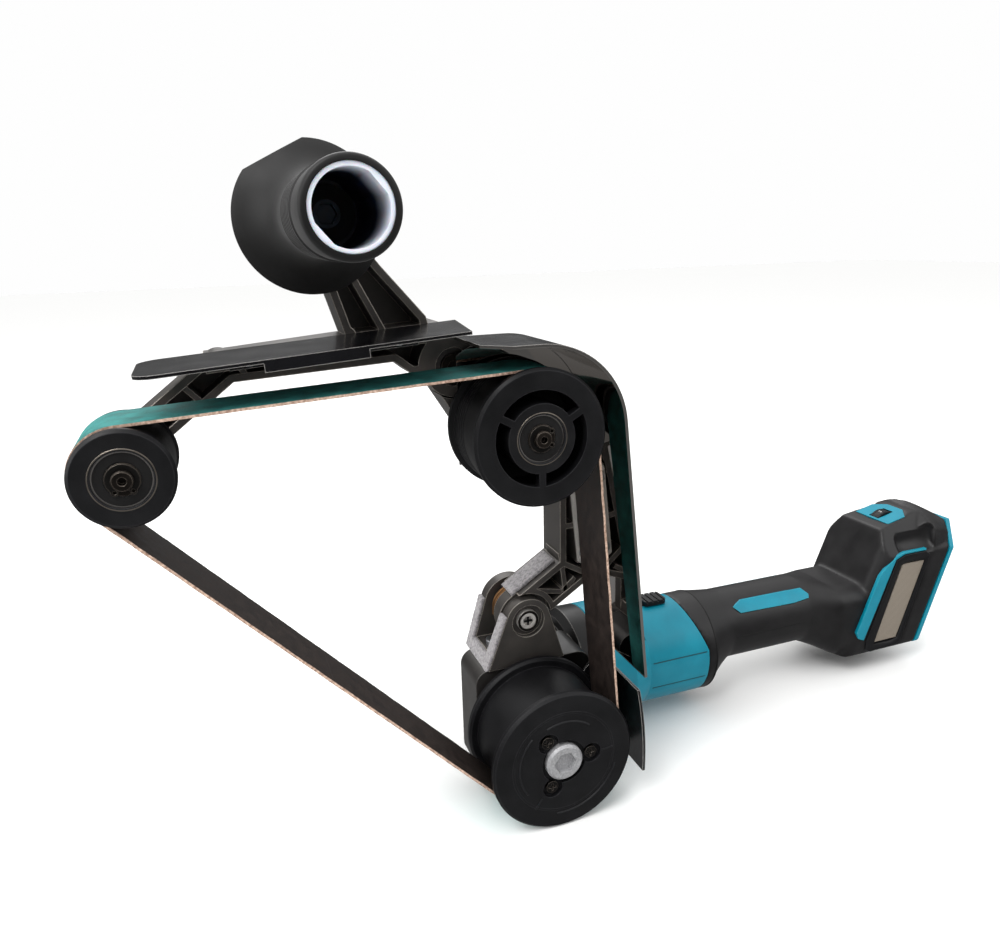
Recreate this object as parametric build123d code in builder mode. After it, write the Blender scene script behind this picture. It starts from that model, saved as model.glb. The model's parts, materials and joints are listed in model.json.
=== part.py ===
from build123d import *

import math
import os

# Pipe belt sander: a grinder head turns an abrasive belt round three pulleys on two sprung arms.
# Millimetres, Z up. X runs along the tool and Y along the spindle.
# Outlines are drawn as (x, z) from the spindle centre, with y from the middle of the belt.

# Belt and pulleys
BELT_WIDTH = 30.0
BELT_THICK = 1.2
BELT_CLEAR = 0.3
BELT_SIDE_PLAY = 1.0
FLANGE_THICK = 4.5
FLANGE_EDGE = 1.2
DRIVE_DRUM_R = 33.5
DRIVE_FLANGE_R = 38.0
UPPER_X = -10.2
UPPER_Z = 168.2
UPPER_DRUM_R = 29.3
UPPER_FLANGE_R = 31.6
FRONT_X = -179.4
FRONT_Z = 171.2
FRONT_DRUM_R = 18.2
FRONT_FLANGE_R = 19.2
DRUM_WALL = 4.0
DRIVE_HUB_R = 12.0
WINDOW_SPOKE = 3.2
WINDOW_SPOKE_ANGLES = (30.0, 150.0, 270.0)
WINDOW_DEPTH = 6.0
HUB_WALL = 5.0
BORE_SHOULDER = 2.0

# Ball bearings of the idle pulleys, and their shafts
BEARING_R = 11.0
BEARING_BORE_R = 4.0
BEARING_WIDTH = 7.0
BEARING_INSET = 1.0
RACE_WALL = 2.4
SEAL_INSET = 0.6
RUN_CLEAR = 0.05
SHAFT_COLLAR_R = 6.0
SHAFT_NOSE = 2.2
CENTRE_HOLE_R = 1.6
CENTRE_HOLE_DEPTH = 3.0
CIRCLIP_THICK = 1.0
CIRCLIP_R = 6.2
CIRCLIP_GROOVE = 0.4
CIRCLIP_GAP = 70.0
CIRCLIP_LUG_R = 1.5
CIRCLIP_EYE_R = 0.7
UPPER_LUG_ANGLE = 0.0
FRONT_LUG_ANGLE = 270.0

# Drive pulley, spindle and bolt
SPINDLE_R = 6.0
DRIVE_BOLT_R = 4.0
DRIVE_BOLT_HEAD_R = 9.8
DRIVE_BOLT_HEAD = 4.0
DRIVE_BOLT_LENGTH = 22.0
HEX_R = 6.0
HEX_DEPTH = 3.0
CAP_RECESS = 2.5
CAP_RECESS_R = 12.0
CAP_LOBE_R = 5.4
CAP_SCREW_PCR = 15.0
CAP_SCREW_ANGLES = (5.0, 125.0, 245.0)
CAP_SCREW_HEAD_R = 3.2
CAP_SCREW_HEAD = 1.8
CAP_SCREW_R = 1.5
CAP_POST_R = 4.0
CAP_GROOVES = (21.3, 27.4)
CAP_GROOVE = 0.7

# Arm castings
ARM_CLEAR = 4.5
ARM_DEPTH = 22.0
ARM_WALL = 3.5
ARM_WEB = 5.0
RIB = 3.0
HINGE_X = -1.0
HINGE_Z = 58.0
HINGE_BOSS_R = 13.8
HINGE_BARREL_R = 9.4
HINGE_BOLT_R = 4.0
LEG_ANGLE = 32.7
LEG_UNDER = 6.0
COLUMN_X = 19.0
COLUMN_TILT = 6.0
COLUMN_REACH = 38.5
COLUMN_TOP_Z = 150.0
COLUMN_RIB_Z = 107.0
UPPER_BOSS_R = 20.0
UPPER_CORE_R = 17.5
ELBOW_X = -35.5
ELBOW_Z = 196.0
ELBOW_BOSS_R = 13.0
ELBOW_EAR_R = 14.5
ELBOW_EAR = 6.9
ELBOW_LUG = 7.5
ELBOW_BARREL_R = 6.6
ELBOW_BOLT_R = 4.0
SWING_CLEAR = 0.6
SIDE_CLEAR = 0.4
FRONT_BOSS_R = 13.0
LEG_R = 7.5
LEG_FOOT = (-172.0, 178.0)
LEG_HEAD = (-140.0, 202.5)
BRIDGE_LOW = ((-136.0, 196.8), (-64.0, 200.4), (-56.0, 194.0))
BRIDGE_END = ((-25.5, 199.0), (-36.0, 214.0))
BRIDGE_TOP_X = (-146.0, -42.0)
STRUT_LEFT = ((-85.5, 214.0), (-91.3, 233.6), (-100.0, 252.0))
STRUT_RIGHT = ((-82.0, 262.0), (-68.0, 243.8), (-48.1, 220.4), (-46.0, 212.0))
STRUT_RIB = ((-67.0, 212.0), (-86.0, 250.0))
BRIDGE_RIBS = (-110.0, -77.0)

# Auxiliary grip
GRIP_X = -97.0
GRIP_Z = 264.2
GRIP_END_Y = -74.0
GRIP_R = 16.7
GRIP_NECK_R = 15.6
GRIP_NECK_Y = -4.0
GRIP_BELL_R = 31.8
GRIP_BELL_SAG = 4.6
GRIP_BELL_RIM = 3.2
GRIP_BELL_FLAT = 28.5
GRIP_FLAT_ANGLE = 117.0
GRIP_RUBBER = 2.7
GRIP_FLOOR_Y = -14.0
GRIP_BOSS_R = 19.0
GRIP_EDGE = 1.0
LINER_WALL = 1.5
LINER_INSET = 0.6
LINER_FLOOR = 3.0
LINER_FLAT_SPAN = 40.0
LINER_FLAT_ANGLE = 40.0
GRIP_BOLT_R = 5.0
GRIP_BOLT_HEAD_R = 8.0
GRIP_BOLT_HEAD = 5.0

# Sheet metal covers
SHEET = 1.5
GUARD_NEAR_Y = -22.0
GUARD_R = 42.0
GUARD_LEFT_X = -35.0
GUARD_TIP_Z = 38.0
GUARD_STEP_Z = 72.0
GUARD_TAIL_Y = 16.0
GUARD_WEB_Z = 148.0
GUARD_CORNER = 11.0
GUARD_SCREW_PCR = 14.0
GUARD_SCREW_ANGLES = (90.0, 210.0, 330.0)
LOW_GUARD_EDGE = ((41.6, 31.6), (45.1, 7.4), (45.8, -16.9))
LOW_GUARD_ROOT_X = 29.0
LOW_GUARD_SCREW_ANGLES = (-12.0, 18.0)
COVER_LEFT_X = -172.0
COVER_RIGHT_X = -34.0
COVER_TAPER = 7.0
COVER_NEAR_Y = -20.5
COVER_Z = 214.0
COVER_MID_X = -92.0
COVER_SLOPE = 3.9
COVER_CORNER = 9.0
COVER_FLANGE = 9.0
COVER_FLANGE_X = (-128.0, -62.0)
COVER_LIP = 5.0
COVER_LIP_X = (-125.0, -84.0)
PLATE_CENTRE = (30.2, 111.5)
PLATE_WIDTH = 8.0
PLATE_LENGTH = 52.0
PLATE_THICK = 1.2
PLATE_SCREW_SPAN = 40.0
SMALL_SCREW_R = 1.5
SMALL_HEAD_R = 2.9
SMALL_HEAD = 1.5
SMALL_SCREW_LENGTH = 8.0

# Yoke on the gear head
YOKE_CLEAR = 1.5
EAR_THICK = 7.0
EAR_R = 12.5
REAR_EAR_R = 15.0
TONGUE = 8.6
SPRING_ROOM = 10.6
YOKE_FOOT_X = (-24.0, 19.6)
YOKE_BRIDGE_Z = 40.0
YOKE_SCREW_X = (-15.0, 11.5)
YOKE_SCREW_R = 2.5
YOKE_SCREW_HEAD_R = 4.2
YOKE_SCREW_HEAD = 2.6
YOKE_SCREW_LENGTH = 12.0
BOLT_HEAD_R = 6.0
BOLT_HEAD = 2.6
BOLT_SINK_R = 9.0
BOLT_SINK = 3.0
PAD_THICK = 2.0
ARM_PAD_WIDTH = 14.0
PAD_INSET = 1.5

# Torsion springs
SPRING_WIRE = 2.0
SPRING_FIT = 0.1
SPRING_TURNS = 2.5
ELBOW_WIRE = 1.5
ELBOW_TURNS = 1.75
SPRING_TAIL = 5.0
COIL_SPACE = 0.7
LEAST_COIL_GAP = 0.4

# Gear head: square case in front, cone and dome behind, neck and flange towards the motor
HEAD_FRONT_Y = 23.5
HEAD_BLOCK_Y = 50.0
HEAD_LEFT = 31.0
HEAD_RIGHT = 36.0
HEAD_HALF_HEIGHT = 33.0
HEAD_CORNER = 8.0
HEAD_CONE_R = 30.4
HEAD_BACK_Y = 84.5
HEAD_BACK_R = 19.0
HEAD_DOME_R = 12.0
HEAD_DOME = 5.0
COVER_PLATE_R = 28.0
COVER_RING_BACK_Y = 32.0
LOW_GUARD_PCR = 31.6
FRONT_RACE_R = 16.0
FRONT_RACE_WIDTH = 10.0
REAR_RACE_R = 9.5
REAR_RACE_WIDTH = 7.0
REAR_CASE_R = 13.0
REAR_SPINDLE_R = 4.5
LIP = 2.0
MOTOR_Y = 64.5
NECK_ROOT_R = 16.0
NECK_R = 27.0
NECK_X = 22.0
HEAD_FLANGE = 16.0
HEAD_FLANGE_EDGE = 4.0
GEAR_R = 21.0
GEAR_ROOM = 3.0
GEAR_RATIO = 3.0
GEAR_FACE = 7.0
GEAR_BACK = 7.0
PINION_BORE_R = 10.0
MESH_CLEAR = 0.3

# Motor and its housing
HOUSING_X = 50.0
HOUSING_R = 31.4
HOUSING_WALL = 3.5
HOUSING_MOUTH = 5.0
MOUTH_X = (70.0, 82.0)
HOUSING_TOP_X = 114.0
HOUSING_SIDE_X = 123.0
HOUSING_KNEE_Z = 8.0
HOUSING_SCREW_X = 62.0
HOUSING_SCREW_R = 2.0
HOUSING_SCREW_HEAD_R = 3.4
HOUSING_SCREW_HEAD = 3.0
HOUSING_SCREW_LENGTH = 20.0
HOUSING_SCREW_ROOM = 0.5
HOUSING_SCREW_EDGE = 0.8
HOUSING_SCREW_ANGLE = 45.0
HOUSING_SCREW_COUNT = 4
STATOR_X = (58.0, 88.0)
STATOR_SEAT = 1.5
STATOR_WALL = 11.5
AIR_GAP = 0.6
MOTOR_SHAFT_R = 5.0
MOTOR_TAIL_R = 4.0
MOTOR_RACE_R = 13.0
MOTOR_RACE_X = (38.0, 47.0)
TAIL_RACE_X = (96.0, 103.0)
TAIL_RACE_R = 11.0
TAIL_WEB = 4.0
FAN_X = (51.0, 57.0)
FAN_ROOM = 4.0
FAN_BLADES = 9
FAN_HUB_R = 12.0
GROOVE = 1.0

# Slide switch
KNOB_X = (92.0, 107.0)
KNOB_WIDTH = 12.0
KNOB_HEIGHT = 3.0
KNOB_STEM_WIDTH = 6.0
KNOB_STEM_LENGTH = 7.0
KNOB_TRAVEL = 7.0
KNOB_CLEAR = 0.4
KNOB_RIDGES = 4

# Handle, with its axis a little above the motor's, and the battery foot that leans back behind it
HANDLE_R = 22.5
HANDLE_Z = 7.0
HANDLE_WALL = 3.0
TAPER_X = (129.0, 148.0)
TAPER_MID = 0.42
TAPER_MID_SHARE = 0.5
FLARE_X = (208.0, 230.0)
FLARE_SIZE = (54.0, 47.5)
FLARE_ROUND = 12.0
FLARE_RUN = 22.0
FOOT_X = 240.8
FOOT_DEPTH = 63.9
FOOT_WIDTH = 58.0
FOOT_FRONT_LEAN = 21.6
FOOT_REAR_LEAN = 18.6
FOOT_BOTTOM_Z = -24.0
FOOT_FRONT_Z = 60.0
FOOT_TOP_Z = 67.5
FOOT_BACK_Z = 59.5
FOOT_PEAK = 27.5
FOOT_SHOULDER = (16.2, 24.3)
FOOT_CORNER = 9.0
FOOT_ROUND = 3.0
FOOT_WALL = 8.0
RIM_THICK = 3.0
BAY_WIDTH = 46.0
BAY_MOUTH = 38.0
BAY_DEPTH = 13.0
BAY_RAIL = 5.0
BAY_TOP = 20.0
FILTER_BACK = 32.1
FILTER_LEAN = 18.2
FILTER_Z = (-16.5, 37.5)
FILTER_WIDTH = 19.0
FILTER_BORDER = 4.5
FILTER_FRAME = 3.0
FILTER_SCREEN = 1.0
DIAL_BACK = 17.2
DIAL_PLATE_REACH = (-8.2, 6.4, 12.6)
DIAL_PLATE_HALF = (14.3, 6.5)
DIAL_PLATE = 1.5
DIAL_R = 10.0
DIAL_WIDTH = 7.0
DIAL_SINK = 8.6
DIAL_CLEAR = 0.8
DIAL_PIN_R = 2.0
DIAL_PIN = 3.0
INLAY_EDGE = ((151.0, 24.2), (158.5, 26.4), (206.0, 26.2), (211.5, 21.4), (196.0, 20.2), (155.0, 20.8))
INLAY_DEPTH = 1.6
HANDLE_SCREW_R = 2.0
HANDLE_SCREW_HEAD_R = 3.8
HANDLE_SCREW_HEAD = 3.0
HANDLE_SCREW_SINK = 6.0
HANDLE_POST_R = 5.0
TAPER_POST = (-13.0, 15.5)
GRIP_POST = (-6.0, 12.5)
TOE_POST = (-9.5, 24.5)
TOP_POST = (53.0, 17.5)
CONTROLLER = (12.0, 36.0, 34.0)
TERMINAL = (34.0, 20.0, 9.0)
BLADE = (1.0, 12.0, 7.0)
BLADE_SPACING = 9.0
SWITCH_UNIT = (26.0, 18.0, 16.0)
SWITCH_UNIT_X = 172.0
SHELF_WIDTH = 10.0

# Levels along the spindle
DRUM_HALF = BELT_WIDTH / 2 + BELT_SIDE_PLAY
PULLEY_HALF = DRUM_HALF + FLANGE_THICK
ARM_FRONT = PULLEY_HALF + ARM_CLEAR
ARM_BACK = ARM_FRONT + ARM_DEPTH
FRONT_ARM_FRONT = ARM_FRONT + SWING_CLEAR
YOKE_FRONT = PULLEY_HALF + YOKE_CLEAR
TONGUE_FRONT = YOKE_FRONT + EAR_THICK + SIDE_CLEAR
TONGUE_BACK = TONGUE_FRONT + TONGUE
BARREL_BACK = TONGUE_BACK + SPRING_ROOM
REAR_EAR_FRONT = BARREL_BACK + SIDE_CLEAR
YOKE_BACK = REAR_EAR_FRONT + EAR_THICK
ELBOW_EAR_BACK = FRONT_ARM_FRONT + ELBOW_EAR
ELBOW_LUG_FRONT = ARM_BACK - ELBOW_LUG

# Centres in side view
DRIVE = (0.0, 0.0)
UPPER = (UPPER_X, UPPER_Z)
FRONT = (FRONT_X, FRONT_Z)
HINGE = (HINGE_X, HINGE_Z)
ELBOW = (ELBOW_X, ELBOW_Z)
GRIP = (GRIP_X, GRIP_Z)

FRONT_RUN = math.tan(math.radians(FOOT_FRONT_LEAN))
REAR_RUN = math.tan(math.radians(FOOT_REAR_LEAN))


def front_edge(z):
    """X of the foot's front face at a height."""
    return FOOT_X + z * FRONT_RUN


def rear_edge(z):
    """X of the battery face at a height."""
    return FOOT_X + FOOT_DEPTH + z * REAR_RUN


# The part's own origin: middle of the whole tool, at its lowest point
HOUSING_MOUTH_R = HOUSING_R + HOUSING_MOUTH
FRONT_REACH = max(FRONT_FLANGE_R, FRONT_DRUM_R + BELT_CLEAR + BELT_THICK)
BODY_HALF = max(FOOT_WIDTH / 2, HOUSING_MOUTH_R)
MID_X = (FRONT_X - FRONT_REACH + rear_edge(FOOT_BACK_Z)) / 2
MID_Y = (GRIP_END_Y + MOTOR_Y + BODY_HALF) / 2
LOW_Z = -max(HOUSING_MOUTH_R, DRIVE_FLANGE_R)


def place(x, y, z):
    """Move a point from the spindle centre to the part's origin."""
    return (x - MID_X, y - MID_Y, z - LOW_Z)


def side(y):
    """Side view plane at y: sketch x is X, sketch y is Z, and it faces the near side."""
    return Plane(origin=place(0, y, 0), x_dir=(1, 0, 0), z_dir=(0, -1, 0))


def across(x):
    """Plane square to the motor axis at x: sketch x is Y from the motor axis, sketch y is Z."""
    return Plane(origin=place(x, MOTOR_Y, 0), x_dir=(0, 1, 0), z_dir=(1, 0, 0))


def level(z):
    """Level plane at z: sketch x is X and sketch y is Y."""
    return Plane(origin=place(0, 0, z), x_dir=(1, 0, 0), z_dir=(0, 0, 1))


def polar(centre, radius, angle):
    """Point at a radius and an angle in degrees from a centre."""
    turn = math.radians(angle)
    return (centre[0] + radius * math.cos(turn), centre[1] + radius * math.sin(turn))


def outline(*points, mode=Mode.ADD):
    """Straight sided face in the sketch being drawn."""
    with BuildLine() as border:
        Polyline(*points, close=True)
    make_face(border.edges(), mode=mode)


def strip(start, end, width, mode=Mode.ADD):
    """Straight band from one point to another in the sketch being drawn."""
    run = math.hypot(end[0] - start[0], end[1] - start[1])
    step_x = (start[1] - end[1]) / run * width / 2
    step_z = (end[0] - start[0]) / run * width / 2
    outline(
        (start[0] + step_x, start[1] + step_z),
        (end[0] + step_x, end[1] + step_z),
        (end[0] - step_x, end[1] - step_z),
        (start[0] - step_x, start[1] - step_z),
        mode=mode,
    )


def link(start, start_r, end, end_r):
    """Two round ends joined by their outer tangents in the sketch being drawn."""
    run = math.hypot(end[0] - start[0], end[1] - start[1])
    heading = math.degrees(math.atan2(end[1] - start[1], end[0] - start[0]))
    lean = math.degrees(math.acos((start_r - end_r) / run))
    outline(
        polar(start, start_r, heading + lean),
        polar(end, end_r, heading + lean),
        polar(end, end_r, heading - lean),
        polar(start, start_r, heading - lean),
    )
    with Locations(start):
        Circle(start_r)
    with Locations(end):
        Circle(end_r)


def disc(centre, radius, front, back, mode=Mode.ADD):
    """Round block from its front y to its back y in the part being built."""
    with BuildSketch(side(back)) as face:
        with Locations(centre):
            Circle(radius)
    extrude(face.sketch, amount=back - front, mode=mode)


def turn_round(centre, *points, mode=Mode.ADD):
    """Revolve an outline of (y, radius) points about a spindle centre."""
    middle = place(centre[0], 0, centre[1])
    with BuildSketch(Plane(origin=middle, x_dir=(0, 1, 0), z_dir=(1, 0, 0))) as section:
        outline(*points)
    revolve(section.sketch, axis=Axis(middle, (0, 1, 0)), mode=mode)


def turn_motor(*points, mode=Mode.ADD):
    """Revolve an outline of (x, radius) points about the motor axis."""
    with BuildSketch(side(MOTOR_Y)) as section:
        outline(*points)
    revolve(section.sketch, axis=Axis(place(0, MOTOR_Y, 0), (1, 0, 0)), mode=mode)


def slab(front, back, mode=Mode.ADD):
    """Extrude the sketch just drawn on side(back) forward to its front y."""
    extrude(amount=back - front, mode=mode)


def finish(shape, label):
    """Name a sub-part and write its file."""
    shape.part.label = label
    export_step(shape.part, f"parts/{label}.step")


os.makedirs("parts", exist_ok=True)

# Abrasive belt round the three pulleys
BELT_STATIONS = ((DRIVE, DRIVE_DRUM_R), (UPPER, UPPER_DRUM_R), (FRONT, FRONT_DRUM_R))


def belt_loop(height, mode=Mode.ADD):
    """Closed loop round the three pulleys at a height above their drums, in the sketch being drawn."""
    runs = []
    for n, (start, start_r) in enumerate(BELT_STATIONS):
        end, end_r = BELT_STATIONS[(n + 1) % len(BELT_STATIONS)]
        run = math.hypot(end[0] - start[0], end[1] - start[1])
        heading = math.degrees(math.atan2(end[1] - start[1], end[0] - start[0]))
        angle = heading - math.degrees(math.acos((start_r - end_r) / run))
        runs.append((polar(start, start_r + height, angle), polar(end, end_r + height, angle), angle))
    with BuildLine() as loop:
        for n, (leave, reach, angle) in enumerate(runs):
            Line(leave, reach)
            centre, radius = BELT_STATIONS[(n + 1) % len(BELT_STATIONS)]
            next_leave, next_reach, next_angle = runs[(n + 1) % len(runs)]
            middle = angle + (next_angle - angle) % 360 / 2
            ThreePointArc(reach, polar(centre, radius + height, middle), next_leave)
    make_face(loop.edges(), mode=mode)


with BuildPart() as abrasive_belt:
    with BuildSketch(side(BELT_WIDTH / 2)) as belt_face:
        belt_loop(BELT_CLEAR + BELT_THICK)
        belt_loop(BELT_CLEAR, mode=Mode.SUBTRACT)
    slab(-BELT_WIDTH / 2, BELT_WIDTH / 2)
finish(abrasive_belt, "abrasive_belt")
BELT_LENGTH = belt_face.sketch.area / BELT_THICK
print(f"belt length {BELT_LENGTH:.1f} mm")

# Drive pulley: drum with the rear flange, front cap, bolt and cap screws
DRUM_BORE_R = DRIVE_DRUM_R - DRUM_WALL
DRUM_WEB_Y = DRUM_HALF - DRUM_WALL
CAP_POSTS = [polar(DRIVE, CAP_SCREW_PCR, angle) for angle in CAP_SCREW_ANGLES]

with BuildPart() as drive_drum:
    turn_round(
        DRIVE,
        (-DRUM_HALF, DRIVE_DRUM_R),
        (DRUM_HALF, DRIVE_DRUM_R),
        (DRUM_HALF, DRIVE_FLANGE_R - FLANGE_EDGE),
        (DRUM_HALF + FLANGE_EDGE, DRIVE_FLANGE_R),
        (PULLEY_HALF - FLANGE_EDGE, DRIVE_FLANGE_R),
        (PULLEY_HALF, DRIVE_FLANGE_R - FLANGE_EDGE),
        (PULLEY_HALF, SPINDLE_R),
        (-DRUM_HALF, SPINDLE_R),
        (-DRUM_HALF, DRIVE_HUB_R),
        (DRUM_WEB_Y, DRIVE_HUB_R),
        (DRUM_WEB_Y, DRUM_BORE_R),
        (-DRUM_HALF, DRUM_BORE_R),
    )
    for post in CAP_POSTS:
        disc(post, CAP_POST_R, -DRUM_HALF, DRUM_WEB_Y + FLANGE_EDGE)
    disc(DRIVE, SPINDLE_R, -DRUM_HALF, PULLEY_HALF, mode=Mode.SUBTRACT)
    for post in CAP_POSTS:
        disc(post, CAP_SCREW_R, -DRUM_HALF, DRUM_WEB_Y, mode=Mode.SUBTRACT)
finish(drive_drum, "drive_drum")

with BuildPart() as drive_cap:
    turn_round(
        DRIVE,
        (-DRUM_HALF, DRIVE_BOLT_R),
        (-DRUM_HALF, DRIVE_FLANGE_R - FLANGE_EDGE),
        (-DRUM_HALF - FLANGE_EDGE, DRIVE_FLANGE_R),
        (FLANGE_EDGE - PULLEY_HALF, DRIVE_FLANGE_R),
        (-PULLEY_HALF, DRIVE_FLANGE_R - FLANGE_EDGE),
        (-PULLEY_HALF, DRIVE_BOLT_R),
    )
    with BuildSketch(side(CAP_RECESS - PULLEY_HALF)):
        Circle(CAP_RECESS_R)
        with Locations(*CAP_POSTS):
            Circle(CAP_LOBE_R)
    extrude(amount=CAP_RECESS, mode=Mode.SUBTRACT)
    with BuildSketch(side(CAP_GROOVE - PULLEY_HALF)):
        for groove_r in CAP_GROOVES:
            Circle(groove_r + CAP_GROOVE / 2)
            Circle(groove_r - CAP_GROOVE / 2, mode=Mode.SUBTRACT)
    extrude(amount=CAP_GROOVE, mode=Mode.SUBTRACT)
    for post in CAP_POSTS:
        disc(post, CAP_SCREW_R, -PULLEY_HALF, -DRUM_HALF, mode=Mode.SUBTRACT)
finish(drive_cap, "drive_cap")

BOLT_SEAT_Y = CAP_RECESS - PULLEY_HALF

with BuildPart() as drive_bolt:
    disc(DRIVE, DRIVE_BOLT_HEAD_R, BOLT_SEAT_Y - DRIVE_BOLT_HEAD, BOLT_SEAT_Y)
    chamfer(drive_bolt.faces().sort_by(Axis.Y)[0].edges(), FLANGE_EDGE)
    disc(DRIVE, DRIVE_BOLT_R, BOLT_SEAT_Y, BOLT_SEAT_Y + DRIVE_BOLT_LENGTH)
    with BuildSketch(side(BOLT_SEAT_Y - DRIVE_BOLT_HEAD + HEX_DEPTH)):
        RegularPolygon(HEX_R, 6)
    extrude(amount=HEX_DEPTH, mode=Mode.SUBTRACT)
finish(drive_bolt, "drive_bolt")

with BuildPart() as cap_screws:
    for post in CAP_POSTS:
        disc(post, CAP_SCREW_HEAD_R, BOLT_SEAT_Y - CAP_SCREW_HEAD, BOLT_SEAT_Y)
        disc(post, CAP_SCREW_R, BOLT_SEAT_Y, DRUM_WEB_Y)
finish(cap_screws, "cap_screws")

# Spindle with the bevel gear, running in the gear head
GEAR_Y = MOTOR_Y - GEAR_R / GEAR_RATIO - MESH_CLEAR
GEAR_INNER_R = GEAR_R - GEAR_FACE
GEAR_INNER_Y = MOTOR_Y - GEAR_INNER_R / GEAR_RATIO - MESH_CLEAR
REAR_RACE_Y = HEAD_BACK_Y - REAR_RACE_WIDTH

with BuildPart() as spindle:
    turn_round(
        DRIVE,
        (-DRUM_HALF, 0),
        (-DRUM_HALF, SPINDLE_R),
        (GEAR_INNER_Y + LIP, SPINDLE_R),
        (GEAR_INNER_Y + LIP, REAR_SPINDLE_R),
        (HEAD_BACK_Y, REAR_SPINDLE_R),
        (HEAD_BACK_Y, 0),
    )
    disc(DRIVE, DRIVE_BOLT_R, -DRUM_HALF, BOLT_SEAT_Y + DRIVE_BOLT_LENGTH, mode=Mode.SUBTRACT)
finish(spindle, "spindle")

with BuildPart() as bevel_gear:
    turn_round(
        DRIVE,
        (GEAR_Y - GEAR_BACK, SPINDLE_R),
        (GEAR_Y - GEAR_BACK, GEAR_INNER_R),
        (GEAR_Y - LIP, GEAR_R),
        (GEAR_Y, GEAR_R),
        (GEAR_INNER_Y, GEAR_INNER_R),
        (GEAR_INNER_Y, SPINDLE_R),
    )
finish(bevel_gear, "bevel_gear")

FRONT_RACE_Y = YOKE_FRONT + LIP

with BuildPart() as spindle_bearings:
    turn_round(
        DRIVE,
        (FRONT_RACE_Y, SPINDLE_R + RUN_CLEAR),
        (FRONT_RACE_Y, FRONT_RACE_R),
        (FRONT_RACE_Y + FRONT_RACE_WIDTH, FRONT_RACE_R),
        (FRONT_RACE_Y + FRONT_RACE_WIDTH, SPINDLE_R + RUN_CLEAR),
    )
    turn_round(
        DRIVE,
        (REAR_RACE_Y, REAR_SPINDLE_R + RUN_CLEAR),
        (REAR_RACE_Y, REAR_RACE_R),
        (HEAD_BACK_Y, REAR_RACE_R),
        (HEAD_BACK_Y, REAR_SPINDLE_R + RUN_CLEAR),
    )
finish(spindle_bearings, "spindle_bearings")

# Gear head: case, neck and flange to the motor, bearing cover
CASE_R = GEAR_R + GEAR_ROOM
CASE_BACK_Y = GEAR_INNER_Y + LIP
HEAD_FLANGE_X = HOUSING_X - HEAD_FLANGE
HOUSING_SCREW_PCR = HOUSING_MOUTH_R - HOUSING_SCREW_R - HOUSING_SCREW_EDGE
HOUSING_SCREW_END_X = HOUSING_SCREW_X - HOUSING_SCREW_LENGTH
YOKE_SCREWS = [(screw_x, (YOKE_FRONT + YOKE_BACK) / 2) for screw_x in YOKE_SCREW_X]
LOW_GUARD_SCREWS = [polar(DRIVE, LOW_GUARD_PCR, angle) for angle in LOW_GUARD_SCREW_ANGLES]

with BuildPart() as gear_housing:
    with BuildSketch(side(HEAD_BLOCK_Y)):
        with Locations(((HEAD_RIGHT - HEAD_LEFT) / 2, 0)):
            RectangleRounded(HEAD_LEFT + HEAD_RIGHT, 2 * HEAD_HALF_HEIGHT, HEAD_CORNER)
    slab(HEAD_FRONT_Y, HEAD_BLOCK_Y)
    turn_round(
        DRIVE,
        (HEAD_BLOCK_Y - LIP, 0),
        (HEAD_BLOCK_Y - LIP, HEAD_CONE_R),
        (HEAD_BLOCK_Y, HEAD_CONE_R),
        (HEAD_BACK_Y, HEAD_BACK_R),
        (HEAD_BACK_Y + HEAD_DOME, HEAD_DOME_R),
        (HEAD_BACK_Y + HEAD_DOME, 0),
    )
    turn_motor((0, 0), (0, NECK_ROOT_R), (NECK_X, NECK_R), (HEAD_FLANGE_X, NECK_R), (HEAD_FLANGE_X, 0))
    turn_motor(
        (HEAD_FLANGE_X, 0),
        (HEAD_FLANGE_X, HOUSING_MOUTH_R - HEAD_FLANGE_EDGE),
        (HEAD_FLANGE_X + HEAD_FLANGE_EDGE, HOUSING_MOUTH_R),
        (HOUSING_X, HOUSING_MOUTH_R),
        (HOUSING_X, 0),
    )
    turn_round(
        DRIVE,
        (HEAD_FRONT_Y, 0),
        (HEAD_FRONT_Y, COVER_PLATE_R),
        (COVER_RING_BACK_Y, COVER_PLATE_R),
        (COVER_RING_BACK_Y, CASE_R),
        (CASE_BACK_Y, CASE_R),
        (CASE_BACK_Y, REAR_CASE_R),
        (REAR_RACE_Y - LIP, REAR_CASE_R),
        (REAR_RACE_Y - LIP, REAR_RACE_R),
        (HEAD_BACK_Y, REAR_RACE_R),
        (HEAD_BACK_Y, 0),
        mode=Mode.SUBTRACT,
    )
    turn_motor(
        (0, 0),
        (0, PINION_BORE_R),
        (MOTOR_RACE_X[0], PINION_BORE_R),
        (MOTOR_RACE_X[0], MOTOR_RACE_R),
        (HOUSING_X, MOTOR_RACE_R),
        (HOUSING_X, 0),
        mode=Mode.SUBTRACT,
    )
    with BuildSketch(across(HOUSING_SCREW_END_X)):
        with PolarLocations(HOUSING_SCREW_PCR, HOUSING_SCREW_COUNT, start_angle=HOUSING_SCREW_ANGLE):
            Circle(HOUSING_SCREW_R)
    extrude(amount=HOUSING_X - HOUSING_SCREW_END_X, mode=Mode.SUBTRACT)
    with BuildSketch(level(YOKE_BRIDGE_Z)):
        with Locations(*YOKE_SCREWS):
            Circle(YOKE_SCREW_R)
    extrude(amount=-YOKE_SCREW_LENGTH, mode=Mode.SUBTRACT)
    for centre in LOW_GUARD_SCREWS:
        disc(centre, SMALL_SCREW_R, HEAD_FRONT_Y, HEAD_FRONT_Y + SMALL_SCREW_LENGTH, mode=Mode.SUBTRACT)
finish(gear_housing, "gear_housing")

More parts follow.
